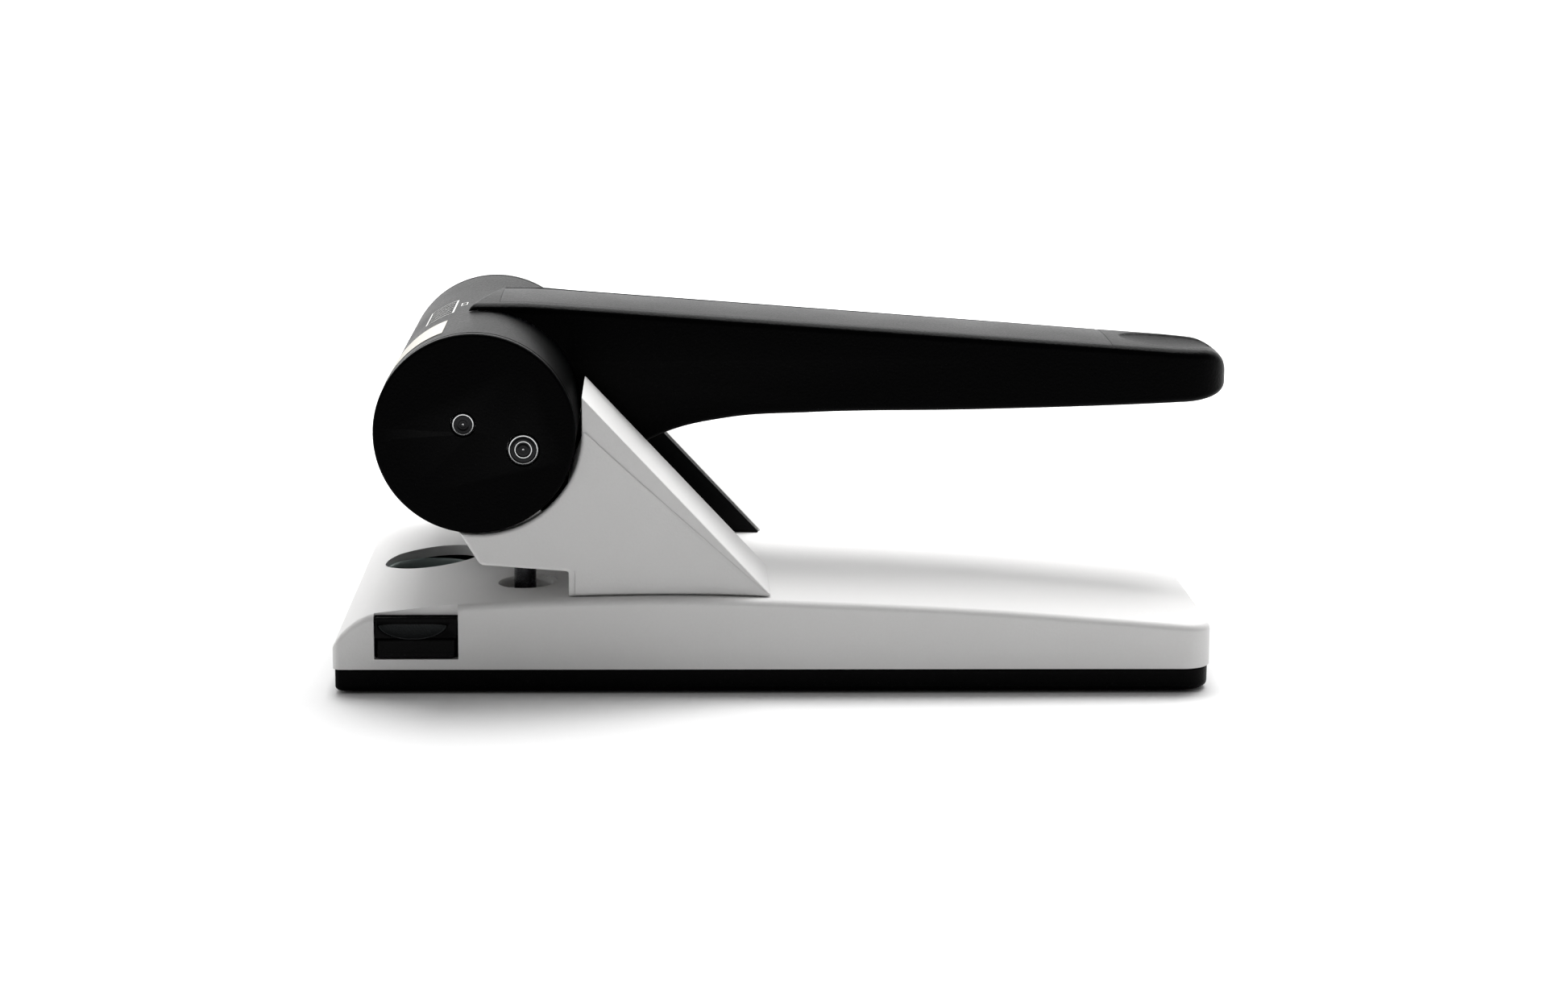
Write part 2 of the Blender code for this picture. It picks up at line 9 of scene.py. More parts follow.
import logging
from dataclasses import dataclass
from enum import Enum
from functools import reduce
from typing import Sequence

import bmesh
import bpy
import numpy as np
from mathutils import Euler, Matrix, Vector


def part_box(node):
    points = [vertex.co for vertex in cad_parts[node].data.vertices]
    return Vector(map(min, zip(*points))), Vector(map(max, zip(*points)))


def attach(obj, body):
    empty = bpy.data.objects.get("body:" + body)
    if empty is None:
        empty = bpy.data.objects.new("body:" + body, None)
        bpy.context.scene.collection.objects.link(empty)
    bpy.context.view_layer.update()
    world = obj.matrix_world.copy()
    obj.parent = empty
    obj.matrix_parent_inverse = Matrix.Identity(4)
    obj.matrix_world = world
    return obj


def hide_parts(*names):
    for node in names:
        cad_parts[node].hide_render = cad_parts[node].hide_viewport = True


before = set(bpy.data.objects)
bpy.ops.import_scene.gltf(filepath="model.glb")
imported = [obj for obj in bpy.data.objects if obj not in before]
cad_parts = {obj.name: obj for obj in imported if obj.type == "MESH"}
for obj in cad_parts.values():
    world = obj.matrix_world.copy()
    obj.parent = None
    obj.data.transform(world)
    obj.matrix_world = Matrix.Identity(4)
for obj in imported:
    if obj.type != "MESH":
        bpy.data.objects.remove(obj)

MM = 0.001
GAP = 0.3
LOG = logging.getLogger("punch")
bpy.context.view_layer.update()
SIDES = {"near": -1, "far": 1}
SCREW_CLEARANCE = 2.4
Array = np.ndarray
Socket = bpy.types.NodeSocket


def cad(node: str) -> tuple[Array, Array]:
    """Low and high corner of a CAD node in millimetres."""
    low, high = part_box(node)
    return np.array(low) / MM, np.array(high) / MM


def middle(node: str) -> Array:
    """Centre of a CAD node's box in millimetres."""
    low, high = cad(node)
    return (low + high) / 2


def upright(node: str) -> tuple[Array, Array, Array, float]:
    """Low corner, high corner, foot of the axis and radius of a round CAD node that stands on end."""
    low, high = cad(node)
    return low, high, (low + high) / 2 * [1, 1, 0], (high[0] - low[0]) / 2


# ---------------------------------------------------------------- finishes


class Surface(Enum):
    """How a material's skin is made."""

    MOULDED = "fine sparked grain of an injection mould"
    PAINTED = "thin paint with a faint orange peel"
    BRUSHED = "long fine scratches"
    TURNED = "rings left by a lathe"
    CLEAR = "polished see-through plastic"
    PAPER = "printed sticker"


class Graph:
    """A node tree that can be filled in one call per node."""

    def __init__(self, tree: bpy.types.NodeTree) -> None:
        """Keeps the tree."""
        self.tree = tree

    def feed(self, node: bpy.types.Node, inputs: dict) -> bpy.types.Node:
        """Sets or wires a node's inputs.

        Args:
            node: the node.
            inputs: for each input's name or number, a value or the socket that drives it.

        Returns:
            The same node.
        """
        for key, value in inputs.items():
            if isinstance(value, Socket):
                self.tree.links.new(value, node.inputs[key])
            else:
                node.inputs[key].default_value = value
        return node

    def add(self, kind: str, inputs: dict | None = None, **options: str) -> bpy.types.Node:
        """Adds a node.

        Args:
            kind: the node's type, without its prefix.
            inputs: what feed takes.
            options: the node's own settings.

        Returns:
            The new node.
        """
        node = self.tree.nodes.new(f"ShaderNode{kind}")
        for key, value in options.items():
            setattr(node, key, value)
        return self.feed(node, inputs or {})

    def map(self, value: Socket, start: Sequence[float], end: Sequence[float], smooth: bool = False) -> Socket:
        """A value carried from one range to another.

        Args:
            value: the socket.
            start: its range.
            end: the range that comes out.
            smooth: eases both ends.

        Returns:
            The socket that comes out.
        """
        inputs = {"Value": value, "From Min": start[0], "From Max": start[1], "To Min": end[0], "To Max": end[1]}
        return self.add("MapRange", inputs, interpolation_type="SMOOTHSTEP" if smooth else "LINEAR").outputs["Result"]

    def noise(self, vector: Socket, size: float, detail: float) -> Socket:
        """A noise whose lumps are size millimetres across."""
        return self.add("TexNoise", {"Vector": vector, "Scale": 1.0 / (size * MM), "Detail": detail}).outputs["Fac"]


@dataclass(frozen=True)
class Finish:
    """One finish: colour, gloss and the size of its grain."""

    name: str
    surface: Surface
    colour: tuple[float, float, float]
    roughness: float
    specular: float = 0.5
    metallic: float = 0.0
    coat: float = 0.0
    grain: float = 0.5
    depth: float = 0.02
    mottle: float = 0.04
    # Share by which convex edges are lightened: partly edge wear, partly a painted highlight on rims.
    edge_wear_and_highlight: float = 0.0
    centre: tuple[float, float, float] = (0.0, 0.0, 0.0)
    painted_highlight_rings: tuple[float, ...] = ()
    slot: str = ""

    def material(self) -> bpy.types.Material:
        """Builds the node material, or returns it when it has been built before.

        Returns:
            The material.
        """
        title = f"look_{self.name}"
        if title in bpy.data.materials:
            return bpy.data.materials[title]
        material = bpy.data.materials.new(title)
        material.use_nodes = True
        graph = Graph(material.node_tree)
        shader = graph.tree.nodes["Principled BSDF"]
        graph.feed(shader, {"Metallic": self.metallic, "Specular IOR Level": self.specular, "Coat Weight": self.coat,
                            "Coat Roughness": 0.2})
        if self.surface is Surface.CLEAR:
            graph.feed(shader, {"Transmission Weight": 0.85, "IOR": 1.12})
        place = graph.add("TexCoord").outputs["Object"]
        location = [-value * MM for value in self.centre]
        vector = graph.add("Mapping", {"Vector": place, "Location": location}).outputs["Vector"]
        stretch = (1.0, 0.04, 1.0) if self.surface is Surface.BRUSHED else (1.0, 1.0, 1.0)
        squeezed = graph.add("VectorMath", {0: vector, 1: stretch}, operation="MULTIPLY").outputs["Vector"]
        fine = self._grain(graph, squeezed)
        cloud = graph.noise(vector, 28.0, 3.0)
        blend = graph.add("Math", {0: cloud, 1: fine}, operation="ADD").outputs["Value"]
        spread = (max(0.02, self.roughness - 0.06), min(1.0, self.roughness + 0.06))
        bump = graph.add("Bump", {"Strength": 1.0, "Distance": self.depth * MM, "Height": fine})
        graph.feed(shader, {"Base Color": self._colour(graph, vector, cloud, fine),
                            "Roughness": graph.map(blend, (0.6, 1.4), spread), "Normal": bump.outputs["Normal"]})
        return material

    def _grain(self, graph: Graph, vector: Socket) -> Socket:
        """The fine relief: rings for turned steel, noise for everything else.

        Args:
            graph: the material's graph.
            vector: where the coordinates come from.

        Returns:
            The height socket.
        """
        if self.surface is not Surface.TURNED:
            return graph.noise(vector, self.grain, 2.0)
        inputs = {"Vector": vector, "Scale": 0.16 / (self.grain * MM), "Distortion": 0.6}
        return graph.add("TexWave", inputs, wave_type="RINGS", rings_direction="Y").outputs["Fac"]

    def _colour(self, graph: Graph, vector: Socket, cloud: Socket, fine: Socket) -> Socket:
        """Base colour: a slow mottle, a hint of the grain, then painted highlight rings where a finish has them, else
        convex edges lightened as part wear, part painted highlight.

        Args:
            graph: the material's graph.
            vector: where the coordinates come from.
            cloud: the slow noise.
            fine: the fine relief.

        Returns:
            The colour socket.
        """
        both = graph.add("Mix", {"Factor": 0.4, "A": cloud, "B": fine}, data_type="FLOAT")
        ramp = graph.add("ValToRGB", {"Fac": both.outputs["Result"]})
        for stop, position, swing in zip(ramp.color_ramp.elements, (0.3, 0.7), (-2, 2)):
            stop.position = position
            stop.color = (*[min(1.0, c * (1.0 + self.mottle * swing)) for c in self.colour], 1.0)
        if not self.edge_wear_and_highlight and not self.painted_highlight_rings:
            return ramp.outputs["Color"]
        if self.painted_highlight_rings:
            # Painted highlight: bright rings where the turned ends' edges would catch the light.
            mask, highlight_and_wear_colour = self._rings(graph, vector), (0.75, 0.76, 0.76, 1.0)
        else:
            # Pointiness lightens convex edges: partly edge wear, partly a painted highlight on rolled rims.
            edge = graph.add("NewGeometry").outputs["Pointiness"]
            mask = graph.map(edge, (0.52, 0.62), (0.0, self.edge_wear_and_highlight))
            highlight_and_wear_colour = (*[min(1.0, c * 1.6 + 0.03) for c in self.colour], 1.0)
        inputs = {"Factor": mask, "A": ramp.outputs["Color"], "B": highlight_and_wear_colour}
        return graph.add("Mix", inputs, data_type="RGBA").outputs["Result"]

    def _rings(self, graph: Graph, vector: Socket) -> Socket:
        """A mask of thin painted highlight rings round the axis, one at each of the given radii.

        Args:
            graph: the material's graph.
            vector: where the coordinates come from.

        Returns:
            The mask socket, 0 to 1.
        """
        flat = graph.add("VectorMath", {0: vector, 1: (1.0, 0.0, 1.0)}, operation="MULTIPLY").outputs["Vector"]
        length = graph.add("VectorMath", {0: flat}, operation="LENGTH").outputs["Value"]
        total = 0.0
        for radius in self.painted_highlight_rings:
            band = graph.add("Math", {0: length, 1: radius * MM, 2: 0.1 * MM}, operation="COMPARE").outputs["Value"]
            total = graph.add("Math", {0: total, 1: band}, operation="MAXIMUM").outputs["Value"]
        return total


WHITE = Finish("white_plastic", Surface.MOULDED, (0.70, 0.695, 0.69), 0.55, 0.3, grain=0.7, depth=0.045, mottle=0.012)
# Black plastic: its lightened edges are mostly a painted highlight along the rims.
BLACK = Finish("black_plastic", Surface.MOULDED, (0.0008, 0.0008, 0.0009), 0.36, 0.022, grain=0.7, depth=0.09,
               edge_wear_and_highlight=0.15)
PANEL = Finish("black_panel", Surface.MOULDED, (0.001, 0.001, 0.0012), 0.34, 0.024, grain=0.6, depth=0.07)
# Black steel: its lightened edges are partly wear and partly a painted highlight.
CHEEK = Finish("black_steel", Surface.PAINTED, (0.002, 0.002, 0.0024), 0.4, 0.06, grain=1.5, depth=0.02, edge_wear_and_highlight=0.2)
STEEL = Finish("zinc_steel", Surface.BRUSHED, (0.55, 0.55, 0.54), 0.35, metallic=1.0, grain=0.3, depth=0.01)
# The turned shafts' bright rings are a painted highlight on their end faces.
PIVOT_STEEL = Finish("turned_pivot_steel", Surface.TURNED, (0.018, 0.018, 0.019), 0.3, metallic=1.0, grain=0.35,
                     depth=0.02, centre=(-85.8, 0.0, 70.5), painted_highlight_rings=(0.15, 2.55), slot="zinc_steel")
DRIVE_STEEL = Finish("turned_drive_steel", Surface.TURNED, (0.018, 0.018, 0.019), 0.3, metallic=1.0, grain=0.4,
                     depth=0.02, centre=(-70.5, 0.0, 64.0), painted_highlight_rings=(0.15, 2.1, 3.6), slot="zinc_steel")
TOOL = Finish("tool_steel", Surface.BRUSHED, (0.03, 0.03, 0.032), 0.28, metallic=1.0, grain=0.3, depth=0.008)
SMOKE = Finish("window_plastic", Surface.MOULDED, (0.30, 0.36, 0.35), 0.1, coat=0.6, grain=6.0, depth=0.02)
LENS = Finish("window_lens_clear", Surface.CLEAR, (0.004, 0.006, 0.007), 0.12, 0.03, grain=8.0, depth=0.01,
              slot="window_plastic")
# Textured grip; its colour, paler than the black plastic, is painted light for the lit thumb scoop.
GRIP_WITH_PAINTED_LIGHT = Finish("ribbed_grip_painted_light", Surface.MOULDED, (0.018, 0.020, 0.021), 0.6, 0.2, grain=0.5, depth=0.12, mottle=0.08,
              slot="black_plastic")
RUBBER = Finish("rubber", Surface.MOULDED, (0.012, 0.012, 0.012), 0.8, 0.2, grain=0.9, depth=0.06)
LABEL = Finish("label_paper", Surface.PAPER, (0.56, 0.54, 0.48), 0.5, grain=0.2, depth=0.004, mottle=0.02)
INK = Finish("white_ink", Surface.PAPER, (0.75, 0.75, 0.73), 0.5, grain=0.3, depth=0.004, slot="label_paper")


# ---------------------------------------------------------------- shapes


@dataclass
class Skin:
    """Points and faces on their way into a mesh, in millimetres."""

    points: Array
    faces: list[Sequence[int]]

    def joined(self, other: "Skin") -> "Skin":
        """This skin and another as one."""
        count = len(self.points)
        return Skin(np.vstack([self.points, other.points]), self.faces + [[i + count for i in f] for f in other.faces])


def grid_faces(rows: int, columns: int, wrap_rows: bool, wrap_columns: bool) -> list[Sequence[int]]:
    """Quads between the rows and columns of a grid whose points are stored row after row.

    Args:
        rows: number of rows.
        columns: number of columns.
        wrap_rows: joins the last row to the first.
        wrap_columns: joins the last column to the first.

    Returns:
        The faces as index lists.
    """
    i = np.arange(rows if wrap_rows else rows - 1)[:, None]
    j = np.arange(columns if wrap_columns else columns - 1)[None, :]
    i2, j2 = (i + 1) % rows, (j + 1) % columns
    quads = np.stack([i * columns + j, i * columns + j2, i2 * columns + j2, i2 * columns + j], axis=-1)
    return quads.reshape(-1, 4).tolist()


def grid(points: Array, wrap_rows: bool = False, wrap_columns: bool = False) -> Skin:
    """A skin from a (rows, columns, 3) array of points."""
    rows, columns = points.shape[:2]
    return Skin(points.reshape(-1, 3), grid_faces(rows, columns, wrap_rows, wrap_columns))


def capped(points: Array) -> Skin:
    """A skin from a (rows, columns, 3) array, wrapped round and closed with one face at each end."""
    rows, columns = points.shape[:2]
    skin = grid(points, wrap_columns=True)
    ends = [list(range(columns)), list(range((rows - 1) * columns, rows * columns))[::-1]]
    return Skin(skin.points, skin.faces + ends)


def put(name: str, data: bpy.types.ID) -> bpy.types.Object:
    """Adds an object to the scene.

    Args:
        name: the object's name.
        data: its mesh, light or camera.

    Returns:
        The object.
    """
    item = bpy.data.objects.new(name, data)
    bpy.context.scene.collection.objects.link(item)
    return item


def make_object(name: str, skin: Skin) -> bpy.types.Object:
    """Puts a skin into a mesh object, welds its seams and turns its faces outwards.

    Args:
        name: the object's name.
        skin: the points and faces.

    Returns:
        The new object at the origin.
    """
    mesh = bpy.data.meshes.new(name)
    mesh.from_pydata((skin.points * MM).tolist(), [], skin.faces)
    work = bmesh.new()
    work.from_mesh(mesh)
    bmesh.ops.remove_doubles(work, verts=work.verts, dist=2e-7)
    bmesh.ops.dissolve_degenerate(work, edges=work.edges, dist=1e-7)
    bmesh.ops.recalc_face_normals(work, faces=work.faces)
    if work.calc_volume(signed=True) < 0:
        bmesh.ops.reverse_faces(work, faces=work.faces)
    work.to_mesh(mesh)
    work.free()
    return put(name, mesh)


def carve(item: bpy.types.Object, cutters: Sequence[Skin]) -> None:
    """Cuts skins out of an object and keeps the result as plain mesh.

    Args:
        item: the object that is cut.
        cutters: closed skins that are removed from it.
    """
    tools = [make_object(f"{item.name}_cutter", skin) for skin in cutters]
    for tool in tools:
        step = item.modifiers.new("cut", "BOOLEAN")
        step.operation = "DIFFERENCE"
        step.solver = "EXACT"
        step.object = tool
    bpy.context.view_layer.update()
    graph = bpy.context.evaluated_depsgraph_get()
    mesh = bpy.data.meshes.new_from_object(item.evaluated_get(graph))
    item.modifiers.clear()
    work = bmesh.new()
    work.from_mesh(mesh)
    bmesh.ops.dissolve_limit(work, angle_limit=np.radians(0.05), verts=work.verts, edges=work.edges)
    work.to_mesh(mesh)
    work.free()
    old, item.data = item.data, mesh
    mesh.name = item.name
    bpy.data.meshes.remove(old)
    for tool in tools:
        used = tool.data
        bpy.data.objects.remove(tool)
        bpy.data.meshes.remove(used)


def piece(name: str, skin: Skin, finish: Finish, body: str, nodes: Sequence[str] = (), cutters: Sequence[Skin] = (),
          angle: float = 32.0) -> bpy.types.Object:
    """Makes a finished piece: mesh, cuts, shading, finish, and what it rides on and stands for.

    Args:
        name: the piece's name.
        skin: its closed skin.
        finish: its finish.
        body: the moving body it rides on.
        nodes: the CAD nodes it stands for.
        cutters: closed skins that are cut out of it.
        angle: edges sharper than this many degrees stay sharp.

    Returns:
        The finished object.
    """
    item = make_object(name, skin)
    if cutters:
        carve(item, cutters)
    item.data.materials.clear()
    item.data.materials.append(finish.material())
    item.data.shade_smooth()
    item.data.set_sharp_from_angle(angle=np.radians(angle))
    weigh = item.modifiers.new("even_shading", "WEIGHTED_NORMAL")
    weigh.keep_sharp = True
    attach(item, body)
    if nodes:
        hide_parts(*nodes)
    LOG.info("%s: %d faces on %s", name, len(item.data.polygons), body)
    return item


def flatten(item: bpy.types.Object, area: float = 60.0) -> None:
    """Shades a piece's large plane faces flat, so that no gradient crosses them.

    Args:
        item: the finished piece.
        area: faces above this many square millimetres are shaded flat.
    """
    for face in item.data.polygons:
        if face.area > area * MM**2:
            face.use_smooth = False


def dress_cad(node: str, finish: Finish) -> None:
    """Gives a carried-over CAD node its finish."""
    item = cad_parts[node]
    item.data.materials.clear()
    item.data.materials.append(finish.material())
    LOG.info("%s: CAD solid kept", node)


def lathe(profile: Sequence[tuple[float, float]], place: Sequence[float], along: str, steps: int = 96) -> Skin:
    """A closed (radius, height) profile turned round an axis.

    The point at turn t and profile point p is (r cos t, r sin t, h), laid along Y as (r cos t, h, r sin t) or left
    standing along Z, and moved to its place.

    Args:
        profile: radius and height of each point, closed on itself.
        place: the axis' foot.
        along: "Y" or "Z".
        steps: points round the axis.

    Returns:
        The skin.
    """
    r, h = np.array(profile, float).T
    t = np.linspace(0, 2 * np.pi, steps, endpoint=False)[:, None]
    flat, side, up = r * np.cos(t), r * np.sin(t), np.broadcast_to(h, (steps, len(r)))
    axes = (flat, up, side) if along == "Y" else (flat, side, up)
    points = np.stack(axes, axis=-1) + np.array(place, float)
    off_axis = [f for f in grid_faces(steps, len(r), True, True) if any(r[i % len(r)] != 0 for i in f)]
    return Skin(points.reshape(-1, 3), off_axis)


def rod(radius: float, low: float, high: float, place: Sequence[float], along: str = "Z", steps: int = 64) -> Skin:
    """A plain round cutter from low to high on the axis through a place."""
    return lathe([(0, low), (radius, low), (radius, high), (0, high)], place, along, steps)


def arc(x: float, z: float, radius: float, start: float, end: float, steps: int) -> Array:
    """Points on a circular arc, angles in degrees."""
    turn = np.radians(np.linspace(start, end, steps + 1))
    return np.stack([x + radius * np.cos(turn), z + radius * np.sin(turn)], axis=-1)


def rounded(corners: Sequence[tuple[float, float, float]], steps: int = 6) -> Array:
    """An outline whose corners are rounded.

    Each corner becomes a quadratic curve that leaves one side and joins the next at its radius from the corner.

    Args:
        corners: x, z and rounding of every corner; a rounding of 0 keeps the point.
        steps: pieces per rounded corner.

    Returns:
        The outline as an (n, 2) array.
    """
    spots = np.array([c[:2] for c in corners], float)
    result = []
    for i, (_, _, size) in enumerate(corners):
        here = spots[i]
        if size <= 0:
            result.append(here[None])
            continue
        before, after = spots[i - 1] - here, spots[(i + 1) % len(spots)] - here
        start = here + before / np.linalg.norm(before) * size
        end = here + after / np.linalg.norm(after) * size
        t = np.linspace(0, 1, steps + 1)[:, None]
        result.append((1 - t) ** 2 * start + 2 * t * (1 - t) * here + t**2 * end)
    return np.vstack(result)


def inset(outline: Array, distance: float) -> Array:
    """The outline moved inwards.

    Each point slides along the mitre of its two sides. A point that then lies nearer to the outline than the distance
    belongs to a corner that the inset swallows, so it joins the nearest point in the row that is still right.

    Args:
        outline: closed (n, 2) outline.
        distance: how far inwards.

    Returns:
        The moved outline.
    """
    before, after = outline - np.roll(outline, 1, 0), np.roll(outline, -1, 0) - outline
    before /= np.maximum(np.linalg.norm(before, axis=1, keepdims=True), 1e-9)
    after /= np.maximum(np.linalg.norm(after, axis=1, keepdims=True), 1e-9)
    area = np.sum(outline[:, 0] * np.roll(outline[:, 1], -1) - np.roll(outline[:, 0], -1) * outline[:, 1])
    turn = np.sign(area)
    normal = turn * np.stack([-(before + after)[:, 1], (before + after)[:, 0]], axis=-1)
    normal /= np.maximum(np.linalg.norm(normal, axis=1, keepdims=True), 1e-9)
    side = turn * np.stack([-before[:, 1], before[:, 0]], axis=-1)
    stretch = np.maximum(np.sum(normal * side, axis=1), 0.25)
    moved = outline + normal * (distance / stretch)[:, None]
    run = np.roll(outline, -1, 0) - outline
    gap = moved[:, None] - outline[None]
    share = np.clip(np.sum(gap * run, -1) / np.maximum(np.sum(run**2, -1), 1e-12), 0, 1)
    clearance = np.linalg.norm(gap - share[..., None] * run, axis=-1).min(axis=1)
    right = np.flatnonzero(clearance > min(distance * 0.97, clearance.max() - 1e-6) - 1e-6)
    steps = np.abs(np.arange(len(outline))[:, None] - right[None])
    steps = np.minimum(steps, len(outline) - steps)
    return moved[right[np.argmin(steps, axis=1)]]


def slab(outline: Array, low: float, high: float, fillet: float, steps: int = 5) -> Skin:
    """An XZ outline carried along Y with rounded rims.

    Ring k stands at y(a) = low + f (1 - cos a) and is moved in by f (1 - sin a), with a from 0 to a right angle, and the
    same mirrored at the high end.

    Args:
        outline: closed (n, 2) outline.
        low: lowest y.
        high: highest y.
        fillet: radius of the rims.
        steps: pieces in each rim.

    Returns:
        The closed skin.
    """
    a = np.linspace(0, np.pi / 2, steps + 1)
    depth = fillet * (1 - np.cos(a))
    move = fillet * (1 - np.sin(a))
    y = np.concatenate([low + depth, high - depth[::-1]])
    shift = np.concatenate([move, move[::-1]])
    rings = np.stack([inset(outline, d) for d in shift])
    points = np.stack([rings[..., 0], np.broadcast_to(y[:, None], rings.shape[:2]), rings[..., 1]], axis=-1)
    return capped(points)


def block(x: Sequence[float], y: Sequence[float], z: Sequence[float], fillet: float = 0.05) -> Skin:
    """A box with softened edges, from its low and high x, y and z."""
    fillet = min(fillet, 0.2 * min(x[1] - x[0], z[1] - z[0]))
    corners = [(x[0], z[0], fillet), (x[1], z[0], fillet), (x[1], z[1], fillet), (x[0], z[1], fillet)]
    return slab(rounded(corners, 3), y[0], y[1], min(fillet, 0.3 * (y[1] - y[0])), 3)


def cad_block(node: str, fillet: float) -> Skin:
    """A block the size of a CAD node."""
    return block(*np.stack(cad(node), -1), fillet)


def plan_loop(x0: float, x1: float, half: float, front: float, rear: float) -> Array:
    """A rounded rectangle in plan, evenly stepped and the same on both sides of the middle line.

    Args:
        x0: front end.
        x1: rear end.
        half: half width.
        front: corner radius at the front.
        rear: corner radius at the rear.

    Returns:
        (n, 2) points in order.
    """
    long_side = np.linspace(x0 + front, x1 - rear, 72)[1:-1]
    front_side = np.linspace(-(half - front), half - front, 29)[1:-1]
    rear_side = np.linspace(-(half - rear), half - rear, 29)[1:-1]
    parts = [
        np.stack([long_side, np.full_like(long_side, -half)], -1),
        arc(x1 - rear, rear - half, rear, -90, 0, 10),
        np.stack([np.full_like(rear_side, x1), rear_side], -1),
        arc(x1 - rear, half - rear, rear, 0, 90, 10),
        np.stack([long_side[::-1], np.full_like(long_side, half)], -1),
        arc(x0 + front, half - front, front, 90, 180, 6),
        np.stack([np.full_like(front_side, x0), front_side[::-1]], -1),
        arc(x0 + front, front - half, front, 180, 270, 6),
    ]
    return np.vstack(parts)


def towards_spine(loop: Array, half: float, share: Array) -> Array:
    """Rings between a plan loop and the middle line.

    Each point moves straight to the nearest point of a spine that stops half a width short of both ends.

    Args:
        loop: the outer (n, 2) loop.
        half: half width of the loop.
        share: for each ring, how far it has moved, 0 to 1.

    Returns:
        (rings, n, 2) points.
    """
    spine_x = np.clip(loop[:, 0], loop[:, 0].min() + half, loop[:, 0].max() - half)
    spine = np.stack([spine_x, np.zeros_like(spine_x)], -1)
    return loop + (spine - loop) * share[:, None, None]


def edge_distance(x: Array, y: Array, x1: float, half: float, corner: float) -> Array:
    """Distance from a point to the long sides and the rear end of a plan with rounded rear corners."""
    qx, qy = x - (x1 - corner), np.abs(y) - (half - corner)
    outside = np.hypot(np.maximum(qx, 0), np.maximum(qy, 0))
    return corner - outside - np.minimum(np.maximum(qx, qy), 0)


def quarter_drop(distance: Array, radius: float) -> Array:
    """How far a rounded edge has dropped at a distance from its rim: the circle's height below its top."""
    left = radius - np.clip(distance, 0, radius)
    return radius - np.sqrt(np.maximum(radius**2 - left**2, 0))


def smooth_line(x: Array, along: Sequence[float], height: Sequence[float]) -> Array:
    """Heights on a smooth line through given points.

    Between two points the line is a cubic with the neighbours' mean slopes, h = (2t^3 - 3t^2 + 1) h0 + (3t^2 - 2t^3) h1
    plus (t^3 - 2t^2 + t) and (t^3 - t^2) times the span times the slopes.

    Args:
        x: where the heights are wanted.
        along: the points' x.
        height: the points' height.

    Returns:
        The heights.
    """
    xs, zs = np.array(along), np.array(height)
    slope = np.gradient(zs, xs)
    i = np.clip(np.searchsorted(xs, x) - 1, 0, len(xs) - 2)
    span = xs[i + 1] - xs[i]
    t = np.clip((x - xs[i]) / span, 0, 1)
    line = (2 * t**3 - 3 * t**2 + 1) * zs[i] + (t**3 - 2 * t**2 + t) * span * slope[i]
    return line + (3 * t**2 - 2 * t**3) * zs[i + 1] + (t**3 - t**2) * span * slope[i + 1]


# ---------------------------------------------------------------- the base


